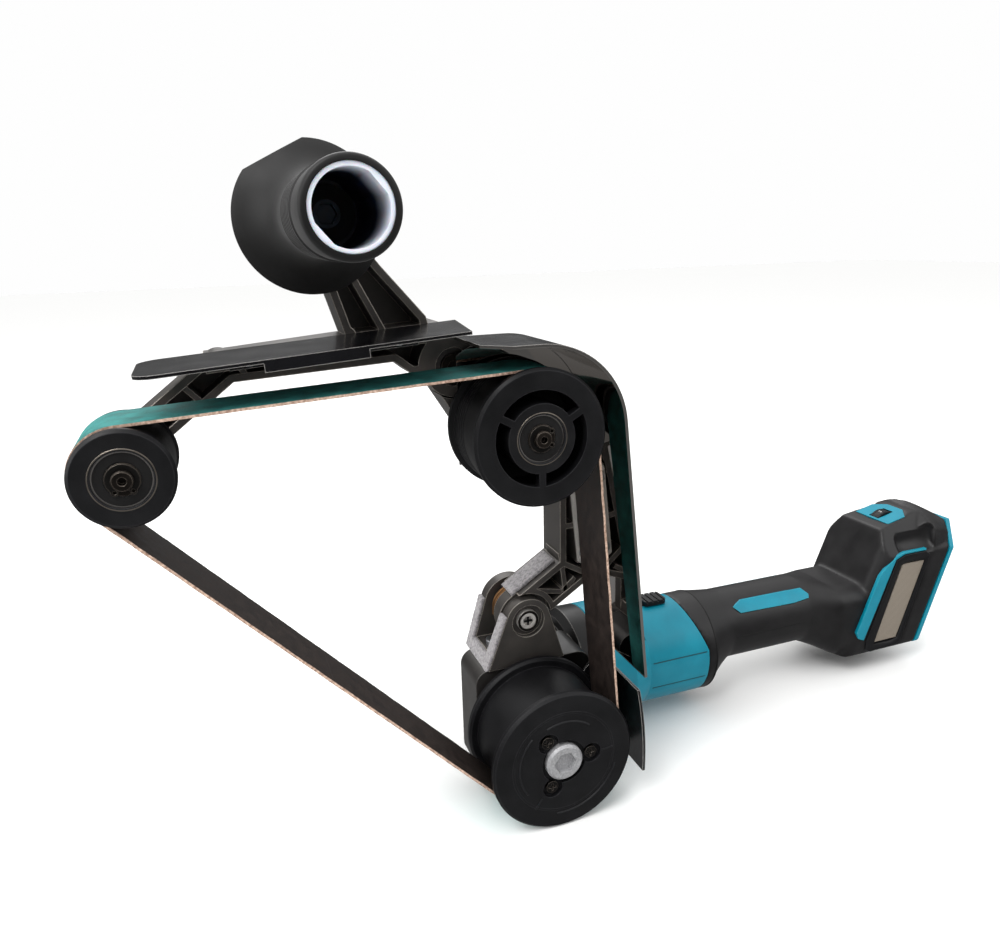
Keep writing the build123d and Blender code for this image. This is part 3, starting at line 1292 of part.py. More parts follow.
# Grip: rubber sleeve with a bell, hard liner inside and the bolt that holds both
LINER_R = GRIP_R - GRIP_RUBBER
FLAT_MID = polar(GRIP, GRIP_BELL_FLAT + GRIP_BELL_R / 2, GRIP_FLAT_ANGLE)
BELL_MID = ((GRIP_NECK_Y + FRONT_ARM_FRONT - GRIP_BELL_RIM) / 2, (GRIP_NECK_R + GRIP_BELL_R) / 2)

with BuildPart() as grip_sleeve:
    with BuildSketch(Plane(origin=place(GRIP_X, 0, GRIP_Z), x_dir=(0, 1, 0), z_dir=(1, 0, 0))):
        with BuildLine():
            Polyline(
                (FRONT_ARM_FRONT - GRIP_BELL_RIM, GRIP_BELL_R),
                (FRONT_ARM_FRONT, GRIP_BELL_R),
                (FRONT_ARM_FRONT, GRIP_BOLT_R),
                (GRIP_FLOOR_Y, GRIP_BOLT_R),
                (GRIP_FLOOR_Y, LINER_R),
                (GRIP_END_Y, LINER_R),
                (GRIP_END_Y, GRIP_R - GRIP_EDGE),
                (GRIP_END_Y + GRIP_EDGE, GRIP_R),
                (GRIP_NECK_Y, GRIP_NECK_R),
            )
            ThreePointArc(
                (GRIP_NECK_Y, GRIP_NECK_R),
                (BELL_MID[0] + GRIP_BELL_SAG / 2, BELL_MID[1] - GRIP_BELL_SAG),
                (FRONT_ARM_FRONT - GRIP_BELL_RIM, GRIP_BELL_R),
            )
        make_face()
    revolve(axis=Axis(place(GRIP_X, 0, GRIP_Z), (0, 1, 0)))
    with BuildSketch(side(FRONT_ARM_FRONT)):
        strip(
            polar(FLAT_MID, GRIP_BELL_R, GRIP_FLAT_ANGLE - 90),
            polar(FLAT_MID, GRIP_BELL_R, GRIP_FLAT_ANGLE + 90),
            GRIP_BELL_R,
        )
    slab(GRIP_NECK_Y, FRONT_ARM_FRONT, mode=Mode.SUBTRACT)
finish(grip_sleeve, "grip_sleeve")

LINER_BORE_R = LINER_R - LINER_WALL
LINER_FLAT = LINER_BORE_R * math.cos(math.radians(LINER_FLAT_SPAN / 2))
LINER_END_Y = GRIP_END_Y + LINER_INSET

with BuildPart() as grip_liner:
    disc(GRIP, LINER_R, LINER_END_Y, GRIP_FLOOR_Y)
    with BuildSketch(side(GRIP_FLOOR_Y - LINER_FLOOR)):
        with Locations(GRIP):
            Circle(LINER_BORE_R)
        strip(
            polar(GRIP, LINER_R, LINER_FLAT_ANGLE + 90),
            polar(GRIP, LINER_R, LINER_FLAT_ANGLE - 90),
            2 * LINER_FLAT,
            mode=Mode.INTERSECT,
        )
    slab(LINER_END_Y, GRIP_FLOOR_Y - LINER_FLOOR, mode=Mode.SUBTRACT)
    disc(GRIP, GRIP_BOLT_R, GRIP_FLOOR_Y - LINER_FLOOR, GRIP_FLOOR_Y, mode=Mode.SUBTRACT)
finish(grip_liner, "grip_liner")

with BuildPart() as grip_bolt:
    head_y = GRIP_FLOOR_Y - LINER_FLOOR
    disc(GRIP, GRIP_BOLT_HEAD_R, head_y - GRIP_BOLT_HEAD, head_y)
    disc(GRIP, GRIP_BOLT_R, head_y, ARM_BACK)
    with BuildSketch(side(head_y - GRIP_BOLT_HEAD / 2)):
        with Locations(GRIP):
            RegularPolygon(GRIP_BOLT_HEAD_R / 2, 6)
    extrude(amount=GRIP_BOLT_HEAD / 2, mode=Mode.SUBTRACT)
finish(grip_bolt, "grip_bolt")

# Torsion springs at the two hinges
def coil_points(coil_r, start_y, pitch, turns, start_angle):
    """Points and headings a quarter turn apart round a hinge, in (x, y, z) from its centre."""
    stations = []
    slope = pitch / (2 * math.pi * coil_r)
    size = math.hypot(1, slope)
    for n in range(round(turns * 4) + 1):
        angle = math.radians(start_angle + 90 * n)
        point = (coil_r * math.cos(angle), start_y + pitch * n / 4, coil_r * math.sin(angle))
        heading = (-math.sin(angle) / size, slope / size, math.cos(angle) / size)
        stations.append((point, heading))
    return stations


def biarc_join(start, start_heading, end, end_heading):
    """Middle point of the pair of arcs that joins two headings smoothly."""
    chord = Vector(*end) - Vector(*start)
    both = Vector(*start_heading) + Vector(*end_heading)
    square = 2 * (1 - Vector(*start_heading).dot(Vector(*end_heading)))
    lead = chord.dot(both)
    reach = (math.sqrt(lead * lead + square * chord.dot(chord)) - lead) / square
    near = Vector(*start) + Vector(*start_heading) * reach
    far = Vector(*end) - Vector(*end_heading) * reach
    return (near + far) * 0.5, (far - near).normalized()


def coil_gap(coil_r, pitch, wire):
    """Least gap between neighbouring turns, measured on points along the coil."""
    steps = [(a * math.pi / 36, pitch * a / 72) for a in range(144)]
    first = [(coil_r * math.cos(a), y, coil_r * math.sin(a)) for a, y in steps]
    gaps = []
    for n in range(36):
        gaps += [math.dist(first[n], first[m]) - wire for m in range(n + 36, len(first))]
    return min(gaps)


def torsion_spring(centre, coil_r, wire, start_y, pitch, turns, start_angle):
    """Round wire coil with a straight tail at each end."""
    stations = coil_points(coil_r, start_y, pitch, turns, start_angle)
    middle = Vector(*place(centre[0], 0, centre[1]))
    first, first_heading = stations[0]
    last, last_heading = stations[-1]
    with BuildLine() as path:
        tail_start = middle + Vector(*first) - Vector(*first_heading) * SPRING_TAIL
        Line(tail_start, middle + Vector(*first))
        for (start, heading), (end, end_heading) in zip(stations, stations[1:]):
            join, join_heading = biarc_join(start, heading, end, end_heading)
            TangentArc(middle + Vector(*start), middle + join, tangent=heading)
            TangentArc(middle + join, middle + Vector(*end), tangent=join_heading)
        Line(middle + Vector(*last), middle + Vector(*last) + Vector(*last_heading) * SPRING_TAIL)
    with BuildSketch(Plane(origin=tail_start, z_dir=first_heading)) as section:
        Circle(wire / 2)
    sweep(section.sketch, path=path.wire())


SPRING_COIL_R = HINGE_BARREL_R + SPRING_WIRE / 2 + SPRING_FIT
ELBOW_COIL_R = ELBOW_BARREL_R + ELBOW_WIRE / 2 + SPRING_FIT
YOKE_COIL_PITCH = SPRING_WIRE + COIL_SPACE
YOKE_COIL_Y = TONGUE_BACK + SPRING_WIRE
ELBOW_COIL_PITCH = ELBOW_WIRE + COIL_SPACE
ELBOW_COIL_Y = ELBOW_EAR_BACK + ELBOW_WIRE

with BuildPart() as yoke_spring:
    torsion_spring(HINGE, SPRING_COIL_R, SPRING_WIRE, YOKE_COIL_Y, YOKE_COIL_PITCH, SPRING_TURNS, 0)
finish(yoke_spring, "yoke_spring")

with BuildPart() as elbow_spring:
    torsion_spring(ELBOW, ELBOW_COIL_R, ELBOW_WIRE, ELBOW_COIL_Y, ELBOW_COIL_PITCH, ELBOW_TURNS, 0)
finish(elbow_spring, "elbow_spring")

for coil_r, pitch, wire in (
    (SPRING_COIL_R, YOKE_COIL_PITCH, SPRING_WIRE),
    (ELBOW_COIL_R, ELBOW_COIL_PITCH, ELBOW_WIRE),
):
    print(f"least coil gap {coil_gap(coil_r, pitch, wire):.2f} mm, wanted over {LEAST_COIL_GAP}")

# Motor: shaft, rotor, fan, pinion, stator and bearings
PINION_R = GEAR_R / GEAR_RATIO - MESH_CLEAR
PINION_INNER_R = GEAR_INNER_R / GEAR_RATIO - MESH_CLEAR
HOUSING_BORE_R = HOUSING_R - HOUSING_WALL
STATOR_R = HOUSING_BORE_R - STATOR_SEAT
STATOR_BORE_R = STATOR_R - STATOR_WALL
ROTOR_R = STATOR_BORE_R - AIR_GAP
FAN_R = HOUSING_BORE_R - FAN_ROOM

with BuildPart() as motor_shaft:
    turn_motor(
        (GEAR_INNER_R, 0),
        (GEAR_INNER_R, PINION_INNER_R),
        (GEAR_R, PINION_R),
        (GEAR_R, MOTOR_SHAFT_R),
        (STATOR_X[1], MOTOR_SHAFT_R),
        (STATOR_X[1], MOTOR_TAIL_R),
        (TAIL_RACE_X[1], MOTOR_TAIL_R),
        (TAIL_RACE_X[1], 0),
    )
finish(motor_shaft, "motor_shaft")

with BuildPart() as rotor_core:
    turn_motor(
        (STATOR_X[0], MOTOR_SHAFT_R),
        (STATOR_X[0], ROTOR_R),
        (STATOR_X[1], ROTOR_R),
        (STATOR_X[1], MOTOR_SHAFT_R),
    )
finish(rotor_core, "rotor_core")

with BuildPart() as cooling_fan:
    turn_motor(
        (FAN_X[0], MOTOR_SHAFT_R),
        (FAN_X[0], FAN_HUB_R),
        (FAN_X[1] - LIP, FAN_HUB_R),
        (FAN_X[1] - LIP, FAN_R),
        (FAN_X[1], FAN_R),
        (FAN_X[1], MOTOR_SHAFT_R),
    )
    with BuildSketch(across(FAN_X[0])):
        with PolarLocations(FAN_HUB_R - LIP, FAN_BLADES):
            Rectangle(FAN_R, LIP, align=(Align.MIN, Align.CENTER))
        Circle(FAN_R, mode=Mode.INTERSECT)
    extrude(amount=FAN_X[1] - FAN_X[0] - LIP)
finish(cooling_fan, "cooling_fan")

with BuildPart() as stator:
    turn_motor(
        (STATOR_X[0], STATOR_BORE_R),
        (STATOR_X[0], STATOR_R),
        (STATOR_X[1], STATOR_R),
        (STATOR_X[1], STATOR_BORE_R),
    )
finish(stator, "stator")

with BuildPart() as motor_bearings:
    turn_motor(
        (MOTOR_RACE_X[0], MOTOR_SHAFT_R + RUN_CLEAR),
        (MOTOR_RACE_X[0], MOTOR_RACE_R),
        (MOTOR_RACE_X[1], MOTOR_RACE_R),
        (MOTOR_RACE_X[1], MOTOR_SHAFT_R + RUN_CLEAR),
    )
    turn_motor(
        (TAIL_RACE_X[0], MOTOR_TAIL_R + RUN_CLEAR),
        (TAIL_RACE_X[0], TAIL_RACE_R),
        (TAIL_RACE_X[1], TAIL_RACE_R),
        (TAIL_RACE_X[1], MOTOR_TAIL_R + RUN_CLEAR),
    )
finish(motor_bearings, "motor_bearings")

# Motor housing: tube with a wide mouth, a swept rear edge, a bearing web and the switch slot
STEM_END_Z = HOUSING_BORE_R - GROOVE
STEM_MID_X = (KNOB_X[0] + KNOB_X[1]) / 2
STEM_SLOT_X = (STEM_MID_X - KNOB_STEM_LENGTH / 2 - KNOB_TRAVEL - KNOB_CLEAR,
               STEM_MID_X + KNOB_STEM_LENGTH / 2 + KNOB_CLEAR)
REGION_R = HOUSING_MOUTH_R + LIP


def housing_region(mode):
    """Keep or remove everything ahead of the swept joint between motor housing and handle."""
    with BuildSketch(side(MOTOR_Y + REGION_R)) as region:
        outline(
            (0, -REGION_R),
            (HOUSING_SIDE_X, -REGION_R),
            (HOUSING_SIDE_X, HOUSING_KNEE_Z),
            (HOUSING_TOP_X, HOUSING_R),
            (HOUSING_TOP_X, REGION_R),
            (0, REGION_R),
        )
    extrude(region.sketch, amount=2 * REGION_R, mode=mode)


with BuildPart() as motor_housing:
    turn_motor(
        (HOUSING_X, HOUSING_BORE_R),
        (HOUSING_X, HOUSING_MOUTH_R - FLANGE_EDGE),
        (HOUSING_X + FLANGE_EDGE, HOUSING_MOUTH_R),
        (MOUTH_X[0], HOUSING_MOUTH_R),
        (MOUTH_X[1], HOUSING_R),
        (HOUSING_SIDE_X, HOUSING_R),
        (HOUSING_SIDE_X, HOUSING_BORE_R),
    )
    turn_motor(
        (TAIL_RACE_X[0], TAIL_RACE_R),
        (TAIL_RACE_X[0], TAIL_RACE_R + TAIL_WEB),
        (TAIL_RACE_X[1] - TAIL_WEB, TAIL_RACE_R + TAIL_WEB),
        (TAIL_RACE_X[1] - TAIL_WEB, HOUSING_BORE_R),
        (TAIL_RACE_X[1], HOUSING_BORE_R),
        (TAIL_RACE_X[1], TAIL_RACE_R),
    )
    turn_motor(
        (STATOR_X[0], STATOR_R),
        (STATOR_X[0], HOUSING_BORE_R),
        (STATOR_X[1], HOUSING_BORE_R),
        (STATOR_X[1], STATOR_R),
    )
    with BuildSketch(across(HOUSING_X)):
        with PolarLocations(HOUSING_SCREW_PCR, HOUSING_SCREW_COUNT, start_angle=HOUSING_SCREW_ANGLE):
            Circle(HOUSING_SCREW_R)
    extrude(amount=HOUSING_SCREW_X - HOUSING_X, mode=Mode.SUBTRACT)
    with BuildSketch(across(HOUSING_SCREW_X)):
        with PolarLocations(HOUSING_SCREW_PCR, HOUSING_SCREW_COUNT, start_angle=HOUSING_SCREW_ANGLE):
            Circle(HOUSING_SCREW_HEAD_R + HOUSING_SCREW_ROOM)
    extrude(amount=MOUTH_X[1] - HOUSING_SCREW_X, mode=Mode.SUBTRACT)
    housing_region(Mode.INTERSECT)
    with BuildSketch(level(STEM_END_Z - KNOB_CLEAR)):
        with Locations(((STEM_SLOT_X[0] + STEM_SLOT_X[1]) / 2, MOTOR_Y)):
            Rectangle(STEM_SLOT_X[1] - STEM_SLOT_X[0], KNOB_STEM_WIDTH + 2 * KNOB_CLEAR)
    extrude(amount=2 * HOUSING_WALL, mode=Mode.SUBTRACT)
finish(motor_housing, "motor_housing")

with BuildPart() as housing_screws:
    with BuildSketch(across(HOUSING_SCREW_X)):
        with PolarLocations(HOUSING_SCREW_PCR, HOUSING_SCREW_COUNT, start_angle=HOUSING_SCREW_ANGLE):
            Circle(HOUSING_SCREW_HEAD_R)
    extrude(amount=HOUSING_SCREW_HEAD)
    with BuildSketch(across(HOUSING_SCREW_X)):
        with PolarLocations(HOUSING_SCREW_PCR, HOUSING_SCREW_COUNT, start_angle=HOUSING_SCREW_ANGLE):
            Circle(HOUSING_SCREW_R)
    extrude(amount=-HOUSING_SCREW_LENGTH)
finish(housing_screws, "housing_screws")

# Slide switch knob on top of the housing
KNOB_Z = HOUSING_R + KNOB_CLEAR

with BuildPart() as switch_knob:
    with BuildSketch(level(KNOB_Z)):
        with Locations((STEM_MID_X, MOTOR_Y)):
            RectangleRounded(KNOB_X[1] - KNOB_X[0], KNOB_WIDTH, LIP)
    extrude(amount=KNOB_HEIGHT)
    with BuildSketch(level(KNOB_Z + KNOB_HEIGHT)):
        with Locations((STEM_MID_X, MOTOR_Y)):
            with GridLocations((KNOB_X[1] - KNOB_X[0]) / KNOB_RIDGES, KNOB_WIDTH, KNOB_RIDGES, 1):
                Rectangle(GROOVE, KNOB_WIDTH)
    extrude(amount=-GROOVE, mode=Mode.SUBTRACT)
    with BuildSketch(level(STEM_END_Z)):
        with Locations((STEM_MID_X, MOTOR_Y)):
            Rectangle(KNOB_STEM_LENGTH, KNOB_STEM_WIDTH)
    extrude(amount=KNOB_Z - STEM_END_Z)
finish(switch_knob, "switch_knob")

# Handle halves with the battery foot
REAR_TURN = math.radians(FOOT_REAR_LEAN)
REAR_LENGTH = (FOOT_BACK_Z - FOOT_BOTTOM_Z) / math.cos(REAR_TURN)
REAR_MID_Z = (FOOT_BACK_Z + FOOT_BOTTOM_Z) / 2
RIM_SHIFT = RIM_THICK / math.cos(REAR_TURN)
REAR_PLANE = Plane(
    origin=place(rear_edge(REAR_MID_Z), MOTOR_Y, REAR_MID_Z),
    x_dir=(0, 1, 0),
    z_dir=(math.cos(REAR_TURN), 0, -math.sin(REAR_TURN)),
)
SPLIT_PLANE = Plane(origin=place(0, MOTOR_Y, 0), x_dir=(1, 0, 0), z_dir=(0, -1, 0))
FOOT_SIDE_Z = FOOT_TOP_Z - FOOT_SHOULDER[1]
PEAK_X = rear_edge(FOOT_BACK_Z) - FOOT_PEAK
FLARE_Z = FOOT_BOTTOM_Z + FLARE_SIZE[1] / 2


def ring(x, radius, z):
    """Round section of the handle at x."""
    with BuildSketch(across(x)) as section:
        with Locations((0, z)):
            Circle(radius)
    return section.sketch


def grip_form(inset, mode):
    """Collar, taper, grip and flare of the handle, drawn in by an inset."""
    collar_r = HOUSING_R - inset
    grip_r = HANDLE_R - inset
    start = ring(HOUSING_TOP_X - inset, collar_r, 0)
    extrude(start, amount=TAPER_X[0] - HOUSING_TOP_X + inset, mode=mode)
    middle_x = TAPER_X[0] + TAPER_MID * (TAPER_X[1] - TAPER_X[0])
    middle_r = collar_r + TAPER_MID_SHARE * (grip_r - collar_r)
    loft(
        [
            ring(TAPER_X[0], collar_r, 0),
            ring(middle_x, middle_r, TAPER_MID_SHARE * HANDLE_Z),
            ring(TAPER_X[1], grip_r, HANDLE_Z),
        ],
        mode=mode,
    )
    extrude(ring(TAPER_X[1], grip_r, HANDLE_Z), amount=FLARE_X[0] - TAPER_X[1], mode=mode)
    with BuildSketch(across(FLARE_X[1])) as flare_end:
        with Locations((0, FLARE_Z)):
            RectangleRounded(FLARE_SIZE[0] - 2 * inset, FLARE_SIZE[1] - 2 * inset, FLARE_ROUND - inset)
    loft([ring(FLARE_X[0], grip_r, HANDLE_Z), flare_end.sketch], mode=mode)
    extrude(flare_end.sketch, amount=FLARE_RUN, mode=mode)


def foot_section(mode):
    """Keep what lies inside the foot's cross section: upright sides under sloping shoulders."""
    half = FOOT_WIDTH / 2
    crown = half - FOOT_SHOULDER[0] * (FOOT_SHOULDER[1] + LIP) / FOOT_SHOULDER[1]
    with BuildSketch(across(0)) as section:
        outline(
            (-half, FOOT_BOTTOM_Z),
            (half, FOOT_BOTTOM_Z),
            (half, FOOT_SIDE_Z),
            (crown, FOOT_TOP_Z + LIP),
            (-crown, FOOT_TOP_Z + LIP),
            (-half, FOOT_SIDE_Z),
        )
        fillet(section.vertices().sort_by(Axis.Z)[:4], FOOT_ROUND)
    extrude(section.sketch, amount=rear_edge(FOOT_TOP_Z), mode=mode)


def foot_block():
    """Leaning block of the foot with its dial facet, shoulders and rounded front corners."""
    with BuildSketch(side(MOTOR_Y + FOOT_WIDTH / 2)) as profile:
        outline(
            (front_edge(FOOT_BOTTOM_Z), FOOT_BOTTOM_Z),
            (rear_edge(FOOT_BOTTOM_Z) - RIM_SHIFT, FOOT_BOTTOM_Z),
            (rear_edge(FOOT_BACK_Z) - RIM_SHIFT, FOOT_BACK_Z),
            (PEAK_X, FOOT_TOP_Z),
            (front_edge(FOOT_FRONT_Z), FOOT_FRONT_Z),
        )
    extrude(profile.sketch, amount=FOOT_WIDTH)
    foot_section(Mode.INTERSECT)
    with BuildSketch(level(FOOT_BOTTOM_Z)) as plan:
        with Locations((front_edge(FOOT_BOTTOM_Z) + FOOT_DEPTH, MOTOR_Y)):
            RectangleRounded(2 * FOOT_DEPTH, FOOT_WIDTH, FOOT_CORNER)
    rise = (FOOT_TOP_Z + LIP - FOOT_BOTTOM_Z) * math.hypot(FRONT_RUN, 1)
    extrude(plan.sketch, amount=rise, dir=(FRONT_RUN, 0, 1), mode=Mode.INTERSECT)


def foot_room():
    """Hollow inside the foot, under its solid top."""
    floor_z = FOOT_BOTTOM_Z + FOOT_WALL
    roof_z = FOOT_SIDE_Z - FOOT_WALL / 2
    with BuildSketch(side(MOTOR_Y + FOOT_WIDTH / 2 - FOOT_WALL)) as room:
        outline(
            (front_edge(floor_z) + FOOT_WALL, floor_z),
            (rear_edge(floor_z) - RIM_SHIFT - FOOT_WALL, floor_z),
            (rear_edge(roof_z) - RIM_SHIFT - FOOT_WALL, roof_z),
            (front_edge(roof_z) + FOOT_WALL, roof_z),
        )
    extrude(room.sketch, amount=FOOT_WIDTH - 2 * FOOT_WALL, mode=Mode.SUBTRACT)


def filter_mid(z):
    """X of the side filter's middle line at a height."""
    return FOOT_X + FILTER_BACK + z * math.tan(math.radians(FILTER_LEAN))


def filter_outline(grow, mode=Mode.ADD):
    """Leaning four sided outline of the side filter, grown outwards."""
    half = FILTER_WIDTH / 2 + grow
    low_z = FILTER_Z[0] - grow
    top_z = FILTER_Z[1] + grow
    outline(
        (filter_mid(top_z) - half, top_z),
        (filter_mid(top_z) + half, top_z),
        (filter_mid(low_z) + half, low_z),
        (filter_mid(low_z) - half, low_z),
        mode=mode,
    )


FOOT_NEAR_Y = MOTOR_Y - FOOT_WIDTH / 2
FOOT_FAR_Y = MOTOR_Y + FOOT_WIDTH / 2
FOOT_SIDES = ((FOOT_NEAR_Y, -1), (FOOT_FAR_Y, 1))
FACET_TURN = math.atan2(FOOT_TOP_Z - FOOT_FRONT_Z, PEAK_X - front_edge(FOOT_FRONT_Z))
DIAL_SPOT = (
    front_edge(FOOT_FRONT_Z) + DIAL_BACK * math.cos(FACET_TURN),
    FOOT_FRONT_Z + DIAL_BACK * math.sin(FACET_TURN),
)
DIAL_FACET = Plane(
    origin=place(DIAL_SPOT[0], MOTOR_Y, DIAL_SPOT[1]),
    x_dir=(math.cos(FACET_TURN), 0, math.sin(FACET_TURN)),
    z_dir=(-math.sin(FACET_TURN), 0, math.cos(FACET_TURN)),
)
DIAL = (DIAL_SPOT[0] + DIAL_SINK * math.sin(FACET_TURN), DIAL_SPOT[1] - DIAL_SINK * math.cos(FACET_TURN))
DIAL_ROOM_R = DIAL_R + DIAL_CLEAR
DIAL_FRONT_Y = MOTOR_Y - DIAL_WIDTH / 2
DIAL_BACK_Y = MOTOR_Y + DIAL_WIDTH / 2
DIAL_PIN_FRONT_Y = DIAL_FRONT_Y - DIAL_CLEAR - DIAL_PIN
DIAL_PIN_BACK_Y = DIAL_BACK_Y + DIAL_CLEAR + DIAL_PIN
BAY_FLOOR_RUN = (BAY_DEPTH + HANDLE_WALL) / math.cos(REAR_TURN)
BAY_MID = (BAY_TOP - REAR_LENGTH) / 2
BAY_HEIGHT = REAR_LENGTH + BAY_TOP
BAY_ROOF_Z = REAR_MID_Z + (BAY_TOP + HANDLE_WALL) * math.cos(REAR_TURN)
SHELF_Z = HANDLE_Z - SWITCH_UNIT[2] / 2
SHELF_LOW_Z = HANDLE_Z - HANDLE_R + HANDLE_WALL / 2
HANDLE_SCREWS = (
    ((TAPER_X[0] + TAPER_X[1]) / 2, *TAPER_POST),
    (FLARE_X[0] - 2 * HANDLE_POST_R, *GRIP_POST),
    (front_edge(TOE_POST[0]) + HANDLE_POST_R, *TOE_POST),
    (rear_edge(TOP_POST[0]) - 2.5 * HANDLE_POST_R, *TOP_POST),
)

with BuildPart() as handle_inlays:
    with BuildSketch(across(INLAY_EDGE[0][0] - LIP)):
        with Locations((0, HANDLE_Z)):
            Circle(HANDLE_R)
            Circle(HANDLE_R - INLAY_DEPTH, mode=Mode.SUBTRACT)
    extrude(amount=INLAY_EDGE[3][0] - INLAY_EDGE[0][0] + 2 * LIP)
    with BuildSketch(side(MOTOR_Y + HANDLE_R)):
        outline(*INLAY_EDGE)
    extrude(amount=2 * HANDLE_R, mode=Mode.INTERSECT)
finish(handle_inlays, "handle_inlays")


def bay_cut(mode):
    """Battery slot with a rail along each side, open at the bottom."""
    with BuildSketch(REAR_PLANE) as mouth:
        with Locations((0, BAY_MID)):
            Rectangle(BAY_MOUTH, BAY_HEIGHT)
    extrude(mouth.sketch, amount=-BAY_DEPTH, mode=mode)
    with BuildSketch(REAR_PLANE.offset(-BAY_RAIL)) as slot:
        with Locations((0, BAY_MID)):
            Rectangle(BAY_WIDTH, BAY_HEIGHT)
    extrude(slot.sketch, amount=BAY_RAIL - BAY_DEPTH, mode=mode)


def dial_plate_outline():
    """Six sided outline of the dial plate on its facet."""
    front, waist, rear = DIAL_PLATE_REACH
    wide, narrow = DIAL_PLATE_HALF
    outline((front, -wide), (waist, -wide), (rear, -narrow), (rear, narrow), (waist, wide), (front, wide))


def handle_half(keep):
    """One half of the handle and foot, split on the motor axis."""
    foot_block()
    grip_form(0, Mode.ADD)
    grip_form(HANDLE_WALL, Mode.SUBTRACT)
    foot_room()
    housing_region(Mode.SUBTRACT)
    add(handle_inlays.part, mode=Mode.SUBTRACT)
    with BuildSketch(side(MOTOR_Y + BAY_WIDTH / 2 + HANDLE_WALL)) as bay_block:
        outline(
            (rear_edge(FOOT_BOTTOM_Z + FOOT_ROUND) - RIM_SHIFT, FOOT_BOTTOM_Z + FOOT_ROUND),
            (rear_edge(BAY_ROOF_Z) - RIM_SHIFT, BAY_ROOF_Z),
            (rear_edge(BAY_ROOF_Z) - BAY_FLOOR_RUN, BAY_ROOF_Z),
            (rear_edge(FOOT_BOTTOM_Z + FOOT_ROUND) - BAY_FLOOR_RUN, FOOT_BOTTOM_Z + FOOT_ROUND),
        )
    extrude(bay_block.sketch, amount=BAY_WIDTH + 2 * HANDLE_WALL)
    bay_cut(Mode.SUBTRACT)
    for y, inward in FOOT_SIDES:
        with BuildSketch(side(y)) as recess:
            filter_outline(FILTER_BORDER)
        extrude(recess.sketch, amount=inward * FILTER_FRAME, mode=Mode.SUBTRACT)
        with BuildSketch(side(y)) as vent:
            filter_outline(0)
        extrude(vent.sketch, amount=inward * (FOOT_WALL + GROOVE), mode=Mode.SUBTRACT)
    for x, z, half in HANDLE_SCREWS:
        disc((x, z), HANDLE_POST_R, MOTOR_Y - half, MOTOR_Y + half)
        disc((x, z), HANDLE_SCREW_R, MOTOR_Y - half + HANDLE_WALL, MOTOR_Y + half, mode=Mode.SUBTRACT)
        head_y = MOTOR_Y + half - HANDLE_SCREW_SINK
        disc((x, z), HANDLE_SCREW_HEAD_R, head_y, FOOT_FAR_Y, mode=Mode.SUBTRACT)
    with BuildSketch(side(MOTOR_Y + SHELF_WIDTH / 2)) as shelf:
        with Locations((SWITCH_UNIT_X, (SHELF_Z + SHELF_LOW_Z) / 2)):
            Rectangle(SWITCH_UNIT[0], SHELF_Z - SHELF_LOW_Z)
    extrude(shelf.sketch, amount=SHELF_WIDTH)
    disc(DIAL, DIAL_ROOM_R, DIAL_FRONT_Y - DIAL_CLEAR, DIAL_BACK_Y + DIAL_CLEAR, mode=Mode.SUBTRACT)
    disc(DIAL, DIAL_PIN_R + RUN_CLEAR, DIAL_PIN_FRONT_Y, DIAL_PIN_BACK_Y, mode=Mode.SUBTRACT)
    with BuildSketch(DIAL_FACET) as seat:
        dial_plate_outline()
    extrude(seat.sketch, amount=-DIAL_PLATE, mode=Mode.SUBTRACT)
    split(bisect_by=SPLIT_PLANE, keep=keep)


with BuildPart() as handle_left:
    handle_half(Keep.TOP)
finish(handle_left, "handle_left")

with BuildPart() as handle_right:
    handle_half(Keep.BOTTOM)
finish(handle_right, "handle_right")

with BuildPart() as handle_screws:
    for x, z, half in HANDLE_SCREWS:
        seat_y = MOTOR_Y + half - HANDLE_SCREW_SINK
        disc((x, z), HANDLE_SCREW_HEAD_R, seat_y, seat_y + HANDLE_SCREW_HEAD)
        disc((x, z), HANDLE_SCREW_R, MOTOR_Y - half + HANDLE_WALL, seat_y)
finish(handle_screws, "handle_screws")

# Rim of the battery face, filters, speed dial and what the foot holds
with BuildPart() as base_rim:
    with BuildSketch(side(FOOT_FAR_Y)):
        outline(
            (rear_edge(FOOT_BOTTOM_Z) - RIM_SHIFT, FOOT_BOTTOM_Z),
            (rear_edge(FOOT_BOTTOM_Z), FOOT_BOTTOM_Z),
            (rear_edge(FOOT_BACK_Z), FOOT_BACK_Z),
            (rear_edge(FOOT_BACK_Z) - RIM_SHIFT, FOOT_BACK_Z),
        )
    extrude(amount=FOOT_WIDTH)
    foot_section(Mode.INTERSECT)
    bay_cut(Mode.SUBTRACT)
finish(base_rim, "base_rim")

with BuildPart() as filter_frames:
    for y, inward in FOOT_SIDES:
        with BuildSketch(side(y)):
            filter_outline(FILTER_BORDER)
            filter_outline(0, mode=Mode.SUBTRACT)
        extrude(amount=inward * FILTER_FRAME)
finish(filter_frames, "filter_frames")

with BuildPart() as filter_screens:
    for y, inward in FOOT_SIDES:
        with BuildSketch(side(y - inward * FILTER_SCREEN)):
            filter_outline(0)
        extrude(amount=inward * FILTER_SCREEN)
finish(filter_screens, "filter_screens")

with BuildPart() as dial_plate:
    with BuildSketch(DIAL_FACET):
        dial_plate_outline()
    extrude(amount=-DIAL_PLATE)
    disc(DIAL, DIAL_ROOM_R, DIAL_FRONT_Y - DIAL_CLEAR, DIAL_BACK_Y + DIAL_CLEAR, mode=Mode.SUBTRACT)
finish(dial_plate, "dial_plate")

with BuildPart() as speed_dial:
    disc(DIAL, DIAL_R, DIAL_FRONT_Y, DIAL_BACK_Y)
    disc(DIAL, DIAL_PIN_R, DIAL_PIN_FRONT_Y, DIAL_PIN_BACK_Y)
finish(speed_dial, "speed_dial")

